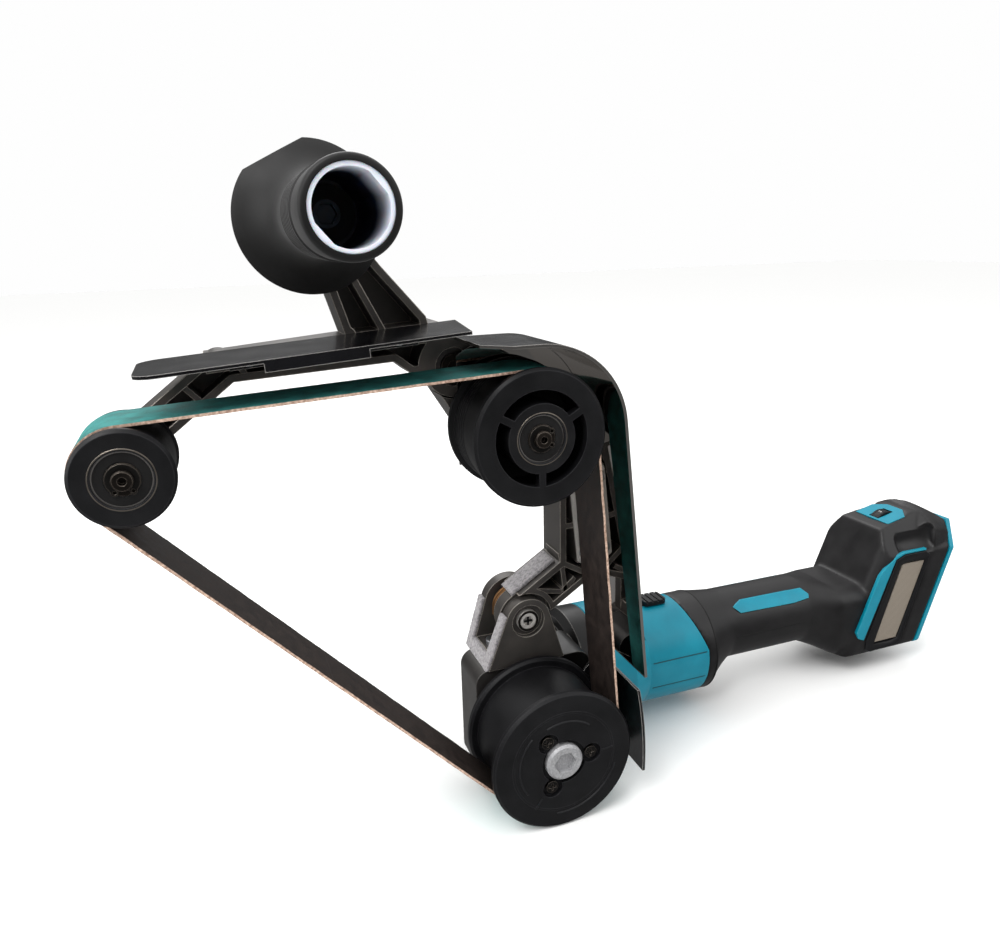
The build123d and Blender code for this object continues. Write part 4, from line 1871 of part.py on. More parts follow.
CONTROLLER_Z = FOOT_BOTTOM_Z + FOOT_WALL
CONTROLLER_X = front_edge(CONTROLLER_Z + CONTROLLER[2]) + FOOT_WALL + CONTROLLER[0] / 2

with BuildPart() as controller:
    with BuildSketch(level(CONTROLLER_Z)):
        with Locations((CONTROLLER_X, MOTOR_Y)):
            Rectangle(CONTROLLER[0], CONTROLLER[1])
    extrude(amount=CONTROLLER[2])
finish(controller, "controller")

TERMINAL_UP = BAY_TOP - TERMINAL[1] / 2

with BuildPart() as terminal_block:
    with BuildSketch(REAR_PLANE.offset(-BAY_DEPTH)):
        with Locations((0, TERMINAL_UP)):
            Rectangle(TERMINAL[0], TERMINAL[1])
    extrude(amount=TERMINAL[2])
finish(terminal_block, "terminal_block")

with BuildPart() as terminal_blades:
    with BuildSketch(REAR_PLANE.offset(BLADE[0] - BAY_DEPTH)):
        with Locations((0, TERMINAL_UP - (TERMINAL[1] + BLADE[1]) / 2)):
            with GridLocations(BLADE_SPACING, BLADE[1], 3, 1):
                Rectangle(BLADE[0], BLADE[1])
    extrude(amount=BLADE[2])
finish(terminal_blades, "terminal_blades")

with BuildPart() as switch_unit:
    with BuildSketch(level(SHELF_Z)):
        with Locations((SWITCH_UNIT_X, MOTOR_Y)):
            Rectangle(SWITCH_UNIT[0], SWITCH_UNIT[1])
    extrude(amount=SWITCH_UNIT[2])
finish(switch_unit, "switch_unit")
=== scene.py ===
"""Looks of a battery pipe belt sander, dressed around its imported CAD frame."""
import json
import logging
import math
from dataclasses import dataclass, field
from enum import Enum

import bmesh
import bpy
from mathutils import Matrix, Vector, noise


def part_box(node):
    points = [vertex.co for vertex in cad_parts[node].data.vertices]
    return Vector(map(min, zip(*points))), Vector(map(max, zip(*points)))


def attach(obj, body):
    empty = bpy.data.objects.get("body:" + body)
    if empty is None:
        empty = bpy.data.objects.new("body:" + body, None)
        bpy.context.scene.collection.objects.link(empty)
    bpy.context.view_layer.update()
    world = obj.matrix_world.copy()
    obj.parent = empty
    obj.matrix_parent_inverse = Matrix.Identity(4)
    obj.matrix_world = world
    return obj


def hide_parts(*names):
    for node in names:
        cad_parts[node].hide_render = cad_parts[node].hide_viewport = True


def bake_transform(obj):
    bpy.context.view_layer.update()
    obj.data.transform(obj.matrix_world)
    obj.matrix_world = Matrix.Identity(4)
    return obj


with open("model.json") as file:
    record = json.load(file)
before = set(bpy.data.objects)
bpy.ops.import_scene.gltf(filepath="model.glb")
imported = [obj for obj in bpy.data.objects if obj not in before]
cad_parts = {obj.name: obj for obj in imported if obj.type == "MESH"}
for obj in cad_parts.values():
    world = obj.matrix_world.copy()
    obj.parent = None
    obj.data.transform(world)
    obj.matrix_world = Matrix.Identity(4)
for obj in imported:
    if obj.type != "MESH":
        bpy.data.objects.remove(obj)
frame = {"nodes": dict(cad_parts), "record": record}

LOG = logging.getLogger("pipe_belt_sander")
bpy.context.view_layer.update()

BMesh = bmesh.types.BMesh
BMVert = bmesh.types.BMVert
Tree = bpy.types.NodeTree
Socket = bpy.types.NodeSocket
Point = tuple[float, float]
Triple = tuple[float, float, float]

MM = 0.001
FULL_TURN = 360.0
# Edges that bend more than this are sharp.
SHARP_DEG = 30.0
# Vertices closer than this, in metres, are one.
MERGE = 1e-6
# Colour sockets of a mix node.
MIX_A, MIX_B, MIX_OUT = 6, 7, 2

SIDE_Y = Vector((0.0, 1.0, 0.0))
MOTOR_X = Vector((1.0, 0.0, 0.0))
UP = Vector((0.0, 0.0, 1.0))

# Places in side view are x and z in millimetres from the spindle.
DRIVE_AXIS: Point = (0.0, 0.0)
UPPER_AXIS: Point = (-10.2, 168.2)
FRONT_AXIS: Point = (-179.4, 171.2)
DIAL_AXIS: Point = (283.244, 55.467)
CAP_FRONT_MM = 20.5
MOTOR_Y = 64.5
UPPER_DRUM_R = 29.3


def spindle_centre() -> Vector:
    """Centre of the spindle at the middle of the belt, in metres."""
    low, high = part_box("drive_cap")
    return Vector(((low.x + high.x) / 2, low.y + CAP_FRONT_MM * MM, (low.z + high.z) / 2))


SPINDLE = spindle_centre()


def at(x: float, y: float, z: float) -> Vector:
    """Point in the frame, given in millimetres from the spindle centre."""
    return SPINDLE + Vector((x, y, z)) * MM


def side_at(place: Point, y: float = 0.0) -> Vector:
    """Point in the frame, given by its place in side view and its depth."""
    return at(place[0], y, place[1])


def polar(centre: Point, radius: float, angle: float) -> Point:
    """Point at a radius and an angle in degrees from a centre, in side view."""
    turn = math.radians(angle)
    return centre[0] + radius * math.cos(turn), centre[1] + radius * math.sin(turn)


def bar(start: Point, end: Point, wide: float) -> list[Point]:
    """Outline of a straight bar in side view.

    Args:
        start: Middle of one end.
        end: Middle of the other end.
        wide: Width of the bar.

    Returns:
        The four corners in order.
    """
    heading = math.degrees(math.atan2(end[1] - start[1], end[0] - start[0]))
    return [polar(point, wide / 2, heading + turn)
            for point, turn in ((start, 90.0), (end, 90.0), (end, -90.0), (start, -90.0))]


def cross_bars(centre: Point, long: float, wide: float) -> list[list[Point]]:
    """Outlines of the two bars of an upright cross."""
    return [bar(polar(centre, -long / 2, angle), polar(centre, long / 2, angle), wide)
            for angle in (0.0, 90.0)]


def band(front: float, back: float, inner: float, outer: float) -> list[Point]:
    """Profile of a plain ring, as places along its line and radii."""
    return [(front, inner), (front, outer), (back, outer), (back, inner)]


def linear(code: str) -> tuple[float, float, float, float]:
    """Turn an sRGB hex colour into linear light.

    Args:
        code: Colour as six hex digits.

    Returns:
        Red, green, blue and alpha, linear.
    """
    parts = [int(code[n:n + 2], 16) / 255 for n in (0, 2, 4)]
    return (*[p / 12.92 if p <= 0.04045 else ((p + 0.055) / 1.055) ** 2.4 for p in parts], 1.0)


def per(size_mm: float) -> float:
    """Texture scale that gives features of a size in millimetres."""
    return 1.0 / (size_mm * MM)


def add_node(tree: Tree, kind: str, inputs: dict | None = None, **settings) -> bpy.types.Node:
    """Add a node with its settings, values and links.

    Args:
        tree: Node tree of the material.
        kind: Blender's name of the node type.
        inputs: Socket name or number with a value, or with the output socket that feeds it.
        settings: Properties of the node.

    Returns:
        The new node.
    """
    node = tree.nodes.new(kind)
    for name, value in settings.items():
        setattr(node, name, value)
    for name, value in (inputs or {}).items():
        if isinstance(value, Socket):
            tree.links.new(value, node.inputs[name])
        else:
            node.inputs[name].default_value = value
    return node


@dataclass(frozen=True)
class Finish:
    """A surface with mottled colour, uneven gloss, a fine relief and edges that catch the light.

    The hex colours are the ends of the mottling and the edge tint, part rubbed wear and part
    painted highlight; sizes are in millimetres.
    """

    name: str
    dark: str
    light: str
    rough: Point
    metallic: float = 0.0
    ior: float = 1.5
    grain_mm: float = 0.6
    patch_mm: float = 14.0
    relief: float = 0.15
    relief_mm: float = 0.05
    sheen: float = 0.0
    soft: float = 0.0
    soft_mm: float = 4.0
    # Edge tint and its reach: part rubbed wear, part painted highlight along the rims.
    edge: str = ""
    edge_mm: float = 0.5
    worn: Point = (0.99, 0.93)
    mottle: Point = (0.3, 0.7)

    def build(self) -> bpy.types.Material:
        """Make the material.

        Returns:
            The node material.
        """
        material = bpy.data.materials.new(self.name)
        material.use_nodes = True
        tree = material.node_tree
        shader = tree.nodes["Principled BSDF"]
        shader.inputs["Metallic"].default_value = self.metallic
        if self.metallic == 0.0:
            shader.inputs["IOR"].default_value = self.ior
        shader.inputs["Sheen Weight"].default_value = self.sheen
        shader.inputs["Subsurface Weight"].default_value = self.soft
        shader.inputs["Subsurface Scale"].default_value = self.soft_mm * MM
        place = add_node(tree, "ShaderNodeTexCoord").outputs["Object"]
        colour, gloss = self.paint(tree, place)
        grain = add_node(tree, "ShaderNodeTexNoise",
                         {"Vector": place, "Scale": per(self.grain_mm), "Detail": 3.0})
        rounding = add_node(tree, "ShaderNodeBevel", {"Radius": self.edge_mm * MM}, samples=4)
        rounded = rounding.outputs["Normal"]
        # Where the rounded normal turns away from the face, mix in the edge tint: part rubbed wear,
        # part painted highlight.
        if self.edge:
            facing = add_node(tree, "ShaderNodeNewGeometry").outputs["Normal"]
            turn = add_node(tree, "ShaderNodeVectorMath", {0: rounded, 1: facing},
                            operation="DOT_PRODUCT").outputs["Value"]
            wear_and_highlight_share = add_node(tree, "ShaderNodeMapRange",
                              {"Value": turn, "From Min": self.worn[0], "From Max": self.worn[1]})
            colour = add_node(tree, "ShaderNodeMix",
                              {"Factor": wear_and_highlight_share.outputs["Result"], MIX_A: colour,
                               MIX_B: linear(self.edge)}, data_type="RGBA").outputs[MIX_OUT]
        tree.links.new(colour, shader.inputs["Base Color"])
        tree.links.new(gloss, shader.inputs["Roughness"])
        bump = add_node(tree, "ShaderNodeBump",
                        {"Strength": self.relief, "Distance": self.relief_mm * MM,
                         "Height": grain.outputs["Fac"], "Normal": rounded})
        tree.links.new(bump.outputs["Normal"], shader.inputs["Normal"])
        return material

    def paint(self, tree: Tree, place: Socket) -> tuple[Socket, Socket]:
        """Colour and gloss of the surface.

        Args:
            tree: Node tree of the material.
            place: Object coordinates.

        Returns:
            Colour socket and roughness socket.
        """
        patch = add_node(tree, "ShaderNodeTexNoise",
                         {"Vector": place, "Scale": per(self.patch_mm), "Detail": 4.0})
        spread = add_node(tree, "ShaderNodeMapRange",
                          {"Value": patch.outputs["Fac"], "From Min": self.mottle[0],
                           "From Max": self.mottle[1]}).outputs["Result"]
        colour = add_node(tree, "ShaderNodeMix",
                          {"Factor": spread, MIX_A: linear(self.dark), MIX_B: linear(self.light)},
                          data_type="RGBA").outputs[MIX_OUT]
        gloss = add_node(tree, "ShaderNodeMapRange",
                         {"Value": spread, "To Min": self.rough[0], "To Max": self.rough[1]})
        return colour, gloss.outputs["Result"]


@dataclass(frozen=True)
class Woven(Finish):
    """A square weave of two sets of threads, leaning with the piece."""

    thread_mm: float = 1.0
    lean_deg: float = 0.0
    # A wave texture of scale 1 repeats at this length.
    wave: float = math.pi / 10

    def paint(self, tree: Tree, place: Socket) -> tuple[Socket, Socket]:
        """Threads with a painted highlight on top and painted shade in the gaps.

        Args:
            tree: Node tree of the material.
            place: Object coordinates.

        Returns:
            Colour socket and roughness socket.
        """
        leaning = add_node(tree, "ShaderNodeMapping",
                           {"Vector": place, "Rotation": (0.0, math.radians(self.lean_deg), 0.0)})
        threads = [add_node(tree, "ShaderNodeTexWave",
                            {"Vector": leaning.outputs["Vector"],
                             "Scale": per(self.thread_mm) * self.wave, "Distortion": 0.8,
                             "Detail": 1.0}, bands_direction=way).outputs["Fac"]
                   for way in ("X", "Z")]
        cross = add_node(tree, "ShaderNodeMath", {0: threads[0], 1: threads[1]},
                         operation="MULTIPLY").outputs["Value"]
        colour = add_node(tree, "ShaderNodeMix",
                          {"Factor": cross, MIX_A: linear(self.dark), MIX_B: linear(self.light)},
                          data_type="RGBA").outputs[MIX_OUT]
        gloss = add_node(tree, "ShaderNodeMapRange",
                         {"Value": cross, "To Min": self.rough[1], "To Max": self.rough[0]})
        return colour, gloss.outputs["Result"]


@dataclass(frozen=True)
class Speckled(Finish):
    """Grains of a lighter colour scattered over a darker ground."""

    speck_mm: float = 0.9
    speck: Point = (0.15, 0.6)
    cover: float = 0.45

    def paint(self, tree: Tree, place: Socket) -> tuple[Socket, Socket]:
        """Ground and grains.

        Args:
            tree: Node tree of the material.
            place: Object coordinates.

        Returns:
            Colour socket and roughness socket.
        """
        colour, gloss = super().paint(tree, place)
        cells = add_node(tree, "ShaderNodeTexVoronoi",
                         {"Vector": place, "Scale": per(self.speck_mm)})
        share = add_node(tree, "ShaderNodeMapRange",
                         {"Value": cells.outputs["Distance"], "From Min": self.speck[0],
                          "From Max": self.speck[1], "To Min": self.cover, "To Max": 0.0})
        colour = add_node(tree, "ShaderNodeMix",
                          {"Factor": share.outputs["Result"], MIX_A: colour,
                           MIX_B: linear(self.light)}, data_type="RGBA").outputs[MIX_OUT]
        return colour, gloss


@dataclass(frozen=True)
class Deepening(Finish):
    """A surface that goes over into a darker colour along one direction."""

    # The default deep colour is the painted shade deep inside the grip's liner.
    deep: str = "141a33"
    way: Triple = (0.0, 1.0, 0.0)
    mouth_mm: float = -86.5
    depth_mm: float = 22.0

    def paint(self, tree: Tree, place: Socket) -> tuple[Socket, Socket]:
        """Own colour at the mouth and the deep colour beyond the depth.

        Args:
            tree: Node tree of the material.
            place: Object coordinates.

        Returns:
            Colour socket and roughness socket.
        """
        colour, gloss = super().paint(tree, place)
        along = add_node(tree, "ShaderNodeVectorMath", {0: place, 1: self.way},
                         operation="DOT_PRODUCT").outputs["Value"]
        share = add_node(tree, "ShaderNodeMapRange",
                         {"Value": along, "From Min": self.mouth_mm * MM,
                          "From Max": (self.mouth_mm + self.depth_mm) * MM})
        # Mix in the deep colour: painted shade in the liner's depth, the neck's black on the gear
        # case.
        colour = add_node(tree, "ShaderNodeMix",
                          {"Factor": share.outputs["Result"], MIX_A: colour,
                           MIX_B: linear(self.deep)}, data_type="RGBA").outputs[MIX_OUT]
        return colour, gloss


@dataclass(frozen=True)
class Lined(Finish):
    """Sheet that is enamelled outside and mirror bright on the faces that look inwards."""

    bare: str = "b3afab"
    inward: Triple = (-0.6, -0.6, -0.53)
    inside: Point = (0.3, 0.4)
    mirror: float = 0.03

    def build(self) -> bpy.types.Material:
        """Make the material.

        Returns:
            The node material.
        """
        material = super().build()
        tree = material.node_tree
        shader = tree.nodes["Principled BSDF"]
        facing = add_node(tree, "ShaderNodeTexCoord").outputs["Normal"]
        turn = add_node(tree, "ShaderNodeVectorMath", {0: facing, 1: self.inward},
                        operation="DOT_PRODUCT").outputs["Value"]
        share = add_node(tree, "ShaderNodeMapRange",
                         {"Value": turn, "From Min": self.inside[0],
                          "From Max": self.inside[1]}).outputs["Result"]
        bright = {"Base Color": linear(self.bare), "Roughness": (self.mirror,) * 3 + (1.0,),
                  "Metallic": (1.0,) * 4}
        for socket, value in bright.items():
            plain = shader.inputs[socket]
            outside = plain.links[0].from_socket if plain.is_linked else linear("000000")
            mixed = add_node(tree, "ShaderNodeMix", {"Factor": share, MIX_A: outside, MIX_B: value},
                             data_type="RGBA")
            tree.links.new(mixed.outputs[MIX_OUT], plain)
        return material


class Slot(Enum):
    """The record's material slots with their finishes."""

    # Die cast aluminium with a dark coat: grey granular skin, lighter along its edges, part rubbed
    # wear and part painted highlight.
    CAST_DARK = Finish("die_cast_aluminium_dark", "454240", "55514d", (0.32, 0.44), 0.45,
                       grain_mm=0.9, relief=0.3, edge="c0b8ae", edge_mm=0.7)
    # Powder coated gear case: gunmetal at the spindle, black round the motor neck.
    HEAD_CASTING = Deepening("powder_coated_gear_case", "3a3836", "464341", (0.28, 0.4), 0.5,
                             grain_mm=0.8, relief=0.2, edge="6f6d6a", edge_mm=0.8, deep="0c0b0b",
                             way=(1.0, 0.0, 0.0), mouth_mm=-52.0, depth_mm=6.0)
    # Glass filled nylon: spark eroded matte black.
    BLACK_PLASTIC = Finish("glass_filled_nylon_black", "0e0e10", "161618", (0.4, 0.52), ior=1.33,
                           grain_mm=0.5, relief=0.2, edge="2a2a2d", edge_mm=0.6)
    # Black enamelled sheet: mirror gloss, its edges tinted bright, part bare cut metal and part
    # painted highlight.
    GLOSS_BLACK = Finish("gloss_enamel_black", "08080a", "101013", (0.12, 0.2), ior=1.42,
                         relief=0.02, grain_mm=9.0, edge="b4b1ad", edge_mm=0.5)
    # Moulded teal nylon: satin.
    TEAL_PLASTIC = Finish("moulded_nylon_teal", "007a90", "00869d", (0.32, 0.44), ior=1.4,
                          grain_mm=0.5, relief=0.15, edge="2aa3b1", edge_mm=0.4)
    # Ground steel: bright, with faint scratches.
    STEEL = Finish("ground_steel", "9a9693", "bdb9b5", (0.2, 0.34), 1.0, grain_mm=0.4,
                   relief=0.06, edge="e2dfdc")
    # Zinc plate over steel: bluish white.
    ZINC = Finish("zinc_plated_steel", "a8acb0", "c9cdd1", (0.28, 0.42), 1.0, grain_mm=0.5,
                  relief=0.08, edge="e6e9ec")
    # Black oxide on steel: dark with an oily sheen.
    BLACK_STEEL = Finish("black_oxide_steel", "191817", "272523", (0.3, 0.45), 0.8, grain_mm=0.5,
                         edge="6b645d")
    # Moulded rubber: dull black that lifts a little at grazing angles.
    GRIP_RUBBER = Finish("moulded_rubber_black", "0d0c0c", "141313", (0.42, 0.56), ior=1.34,
                         grain_mm=0.4, relief=0.2, sheen=0.1)
    # Milky polyethylene: translucent and pale at the mouth, then blue black with depth in painted
    # shade.
    LINER = Deepening("milky_polyethylene", "cfd3df", "e8eaf2", (0.28, 0.38), grain_mm=1.0,
                      relief=0.04, soft=0.3)
    # Pressed wool felt: grey fibres in light and dark flecks, drawn coarse enough to show.
    FELT = Speckled("pressed_wool_felt", "656264", "a9a5a7", (0.9, 1.0), grain_mm=0.45,
                    patch_mm=1.6, relief=0.9, relief_mm=0.35, sheen=0.4, speck_mm=0.9)
    # Resin soaked twill on the inside of the belt: brown black, rubbed grey in streaks.
    BELT = Finish("abrasive_cloth_backing", "1f1917", "332a26", (0.5, 0.66), ior=1.34,
                  grain_mm=0.5, patch_mm=5.0, relief=0.5, relief_mm=0.12)
    # Phosphated spring wire: brownish.
    SPRING = Finish("phosphated_spring_wire", "6b4a2f", "8d6a49", (0.3, 0.45), 0.9, grain_mm=0.5)
    # Punched steel laminations: dull grey.
    LAMINATIONS = Finish("laminated_steel", "4d4e50", "616264", (0.35, 0.5), 0.9, grain_mm=0.5)
    # Tinned brass blades: pale gold.
    BRASS = Finish("tinned_brass", "b08f45", "c9a85c", (0.25, 0.35), 1.0, grain_mm=0.5)
    # Potted circuit board: dark green resin.
    BOARD = Finish("potted_circuit_board", "10331c", "1a4a2a", (0.3, 0.5), grain_mm=2.0)
    # Woven steel dust screen: warm grey threads, drawn coarse enough to show.
    MESH = Woven("woven_steel_mesh", "867c70", "b9afa1", (0.4, 0.6), 0.4, grain_mm=0.4,
                 relief=0.3, thread_mm=0.8, lean_deg=-18.2)

    @property
    def key(self) -> str:
        """Name of the slot in the record."""
        return self.name.lower()


class Coat(Enum):
    """Finishes within the record's slots, for the new pieces and a few nodes."""

    # Ceramic grit in teal resin on the outside of the belt: matte, its grains drawn coarse to show.
    GRIT = Speckled("ceramic_grit_teal", "17605d", "378f8b", (0.62, 0.8), grain_mm=0.5,
                    patch_mm=7.0, relief=0.8, relief_mm=0.2, speck_mm=0.8)
    # Cut edge of the belt's cloth: pale threads stained by resin.
    CUT_CLOTH = Finish("cut_cotton_edge", "8d6f5f", "d9bda9", (0.85, 0.95), grain_mm=0.4,
                       patch_mm=1.2, relief=0.8, relief_mm=0.2)
    # Black, dull: dark seam lines in mouldings, and painted shade over the grip bolt, behind the
    # pulley spokes and in the hinge bolt's cross.
    SEAM = Finish("black_seam_and_painted_shade", "060606", "0b0b0b", (0.6, 0.75))
    # Seam moulded in the teal housing: a deeper teal.
    TEAL_SEAM = Finish("moulded_seam_teal", "00434c", "005560", (0.45, 0.6))
    # Oiled shaft steel: brown black with soft highlights.
    OILED = Finish("oiled_shaft_steel", "1c1815", "2e2823", (0.3, 0.42), 0.8, grain_mm=0.5,
                   edge="7a7168")
    # Zinc flake coat on the drive bolt: flat light grey.
    ZINC_FLAKE = Finish("zinc_flake_coat", "9d9d9f", "c2c2c4", (0.5, 0.62), 0.55, grain_mm=0.5,
                        patch_mm=0.9, relief=0.2)
    # Head of the grip bolt deep in the liner: steel painted dark blue for the shade it sits in.
    BLUED = Finish("grip_bolt_painted_shade", "2c353e", "424d58", (0.35, 0.45), 0.4, grain_mm=0.5)
    # Polished wear plate: bright silver.
    POLISHED = Finish("polished_wear_plate", "c6c1bb", "e4e0db", (0.24, 0.34), 0.55,
                      grain_mm=0.6, relief=0.03)
    # Enamelled guard, left bright inside, so that the arm and the belt show in it.
    GUARD = Lined("enamelled_guard_sheet", "0c0c0e", "151518", (0.14, 0.22), ior=1.45,
                  relief=0.02, grain_mm=9.0, edge="b4b1ad", edge_mm=0.5)
    # Bearing ring turned bright at the rim of its seal.
    BRIGHT_RING = Finish("turned_bearing_ring", "8f877c", "aaa196", (0.25, 0.35), 1.0,
                         grain_mm=0.5)
    # Soft touch skin of the handle: black with a satin lift on its rounded edges.
    OVERMOULD = Finish("soft_touch_overmould", "141314", "1e1d1e", (0.36, 0.48), ior=1.4,
                       grain_mm=0.6, relief=0.25)
    # White ink in the dial's numbers.
    INK = Finish("printed_ink_white", "d9d9d6", "efefec", (0.5, 0.6))


@dataclass
class Paint:
    """Builds each finish once and puts it on the CAD nodes."""

    built: dict[str, bpy.types.Material] = field(default_factory=dict)
    special: dict[str, Coat] = field(default_factory=lambda: {
        "upper_shaft": Coat.OILED, "front_shaft": Coat.OILED, "elbow_bolt": Coat.OILED,
        "drive_bolt": Coat.ZINC_FLAKE, "grip_bolt": Coat.BLUED, "arm_plate": Coat.POLISHED,
        "yoke_bolt": Coat.POLISHED, "upper_guard": Coat.GUARD})

    def material(self, choice: Enum) -> bpy.types.Material:
        """Material of a slot or coat, made the first time it is asked for.

        Args:
            choice: The finish wanted.

        Returns:
            The material.
        """
        name = choice.value.name
        if name not in self.built:
            self.built[name] = choice.value.build()
        return self.built[name]

    def dress_nodes(self) -> None:
        """Give every CAD node its own coat, or the finish of its slot in the record."""
        for row in frame["record"]["subparts"]:
            mesh = frame["nodes"][row["node"]].data
            mesh.materials.clear()
            choice = self.special.get(row["node"], Slot[row["material_slot"].upper()])
            mesh.materials.append(self.material(choice))
            LOG.info("dressed %s as %s", row["node"], choice.value.name)


def linked(name: str, mesh: BMesh) -> bpy.types.Object:
    """Put a finished mesh into the scene.

    Args:
        name: Name of the object.
        mesh: The mesh, which is freed.

    Returns:
        The object.
    """
    data = bpy.data.meshes.new(name)
    mesh.to_mesh(data)
    mesh.free()
    made = bpy.data.objects.new(name, data)
    bpy.context.scene.collection.objects.link(made)
    return made


@dataclass
class Maker:
    """Turns bmesh work into pieces that ride on the bodies."""

    paint: Paint
    smooth_deg: float = 40.0

    def piece(self, name: str, mesh: BMesh, slot: Slot, body: str = "",
              coats: tuple[Enum, ...] = ()) -> bpy.types.Object:
        """Make an object of a finished mesh.

        Args:
            name: Name of the piece.
            mesh: The mesh, which is freed.
            slot: Slot of the record that the piece belongs to.
            body: Body it rides on, or none, where that is set later or left unset.
            coats: Finishes by material index, or the slot's own finish where there are none.

        Returns:
            The piece.
        """
        made = linked(name, mesh)
        for choice in coats or (slot,):
            made.data.materials.append(self.paint.material(choice))
        made.data.shade_smooth()
        made.data.set_sharp_from_angle(angle=math.radians(self.smooth_deg))
        if body:
            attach(made, body)
        LOG.info("made %s with %d faces", name, len(made.data.polygons))
        return made


def revoxel(made: bpy.types.Object, cell_mm: float) -> None:
    """Give a piece one closed skin of small even faces.

    Args:
        made: The piece.
        cell_mm: Size of the faces.
    """
    skin = made.modifiers.new("skin", "REMESH")
    skin.mode = "VOXEL"
    skin.voxel_size = cell_mm * MM


def carve(made: bpy.types.Object, cutter: bpy.types.Object, crossing: bool = False) -> None:
    """Cut a shape out of a piece.

    Args:
        made: The piece.
        cutter: The shape.
        crossing: Whether parts of the shape cross each other.
    """
    cut = made.modifiers.new(cutter.name, "BOOLEAN")
    cut.object = cutter
    cut.solver = "EXACT"
    cut.use_self = crossing


def settle(made: bpy.types.Object, *cutters: bpy.types.Object) -> bpy.types.Mesh:
    """Put a piece's modifiers into its mesh.

    Args:
        made: The piece.
        cutters: Shapes cut out of it, which are removed.

    Returns:
        Its new mesh, smooth all over.
    """
    seen = made.evaluated_get(bpy.context.evaluated_depsgraph_get())
    done = bpy.data.meshes.new_from_object(seen)
    made.modifiers.clear()
    made.data = done
    done.shade_smooth()
    for cutter in cutters:
        bpy.data.objects.remove(cutter)
    return done


def close_up(mesh: BMesh) -> BMesh:
    """Merge doubles, fill open ends and turn the faces outwards.

    Args:
        mesh: The mesh being made.

    Returns:
        The same mesh.
    """
    bmesh.ops.remove_doubles(mesh, verts=mesh.verts, dist=MERGE)
    bmesh.ops.holes_fill(mesh, edges=[edge for edge in mesh.edges if edge.is_boundary])
    bmesh.ops.recalc_face_normals(mesh, faces=mesh.faces)
    return mesh


def closed_line(mesh: BMesh, points: list[Vector]) -> tuple[list, list]:
    """Draw a closed line.

    Args:
        mesh: The mesh being made.
        points: Its corners in order, in metres.

    Returns:
        Its vertices and its edges.
    """
    verts = [mesh.verts.new(point) for point in points]
    return verts, [mesh.edges.new((verts[n - 1], verts[n])) for n in range(len(verts))]


def lofted(mesh: BMesh, sections: list[list[Vector]], ring: bool = False) -> BMesh:
    """Stretch a skin over sections.

    Args:
        mesh: The mesh being made.
        sections: Corners of each section in order, in metres.
        ring: Whether the last section goes on to the first; otherwise both ends are filled.

    Returns:
        The same mesh.
    """
    loops = [closed_line(mesh, points)[1] for points in sections]
    for before, after in zip(loops, loops[1:] + loops[:1] if ring else loops[1:]):
        bmesh.ops.bridge_loops(mesh, edges=before + after)
    if not ring:
        bmesh.ops.holes_fill(mesh, edges=loops[0] + loops[-1])
    bmesh.ops.recalc_face_normals(mesh, faces=mesh.faces)
    return mesh


def turned(profile: list[Point], origin: Vector, along: Vector = SIDE_Y, across: Vector = MOTOR_X,
           sweep_deg: float = FULL_TURN, steps: int = 96, mesh: BMesh | None = None) -> BMesh:
    """Spin a closed profile about a line.

    Args:
        profile: Places along the line and radii, in millimetres.
        origin: Point of the line from which the places count, in metres.
        along: Direction of the line.
        across: Direction in which the spin starts.
        sweep_deg: Angle of the spin, left handed about the line.
        steps: Facets of the spin.
        mesh: Mesh to add to, or a new one.

    Returns:
        The mesh with the closed turned shape.
    """
    mesh = mesh or bmesh.new()
    verts, edges = closed_line(mesh, [origin + (along * place + across * radius) * MM
                                      for place, radius in profile])
    bmesh.ops.spin(mesh, geom=verts + edges, cent=origin, axis=-along,
                   angle=math.radians(sweep_deg), steps=steps, use_merge=sweep_deg == FULL_TURN)
    return close_up(mesh)


def plate(outline: list[Point], front: float, back: float, mesh: BMesh | None = None) -> BMesh:
    """Flat plate standing in side view.

    Args:
        outline: Corners in x and z, in millimetres.
        front: Its near face.
        back: Its far face.
        mesh: Mesh to add to, or a new one.

    Returns:
        The mesh with the plate.
    """
    mesh = mesh or bmesh.new()
    face = mesh.faces.new([mesh.verts.new(side_at(corner, front)) for corner in outline])
    grown = bmesh.ops.extrude_face_region(mesh, geom=[face])["geom"]
    bmesh.ops.translate(mesh, verts=[part for part in grown if isinstance(part, BMVert)],
                        vec=SIDE_Y * (back - front) * MM)
    bmesh.ops.recalc_face_normals(mesh, faces=mesh.faces)
    return mesh


def round_edges(mesh: BMesh, size_mm: float, segments: int = 2) -> None:
    """Bevel the sharp edges of a mesh.

    Args:
        mesh: The mesh being made.
        size_mm: Width of the bevel.
        segments: Facets of the bevel.
    """
    sharp = [edge for edge in mesh.edges
             if edge.is_manifold and edge.calc_face_angle() > math.radians(SHARP_DEG)]
    bmesh.ops.bevel(mesh, geom=sharp, offset=size_mm * MM, offset_type="OFFSET",
                    segments=segments, profile=0.5, affect="EDGES", material=-1)


def merged_nodes(*nodes: str) -> BMesh:
    """Merged copy of the meshes of CAD nodes.

    Args:
        nodes: Names of the nodes.

    Returns:
        One mesh.
    """
    mesh = bmesh.new()
    for node in nodes:
        mesh.from_mesh(frame["nodes"][node].data)
    bmesh.ops.remove_doubles(mesh, verts=mesh.verts, dist=MERGE)
    return mesh


def whole_faces(node: str) -> BMesh:
    """Merged copy of a CAD node's mesh, with its flat faces whole again.

    Args:
        node: Name of the node.

    Returns:
        The mesh.
    """
    mesh = merged_nodes(node)
    bmesh.ops.dissolve_limit(mesh, angle_limit=math.radians(1.0), verts=mesh.verts,
                             edges=mesh.edges)
    return mesh


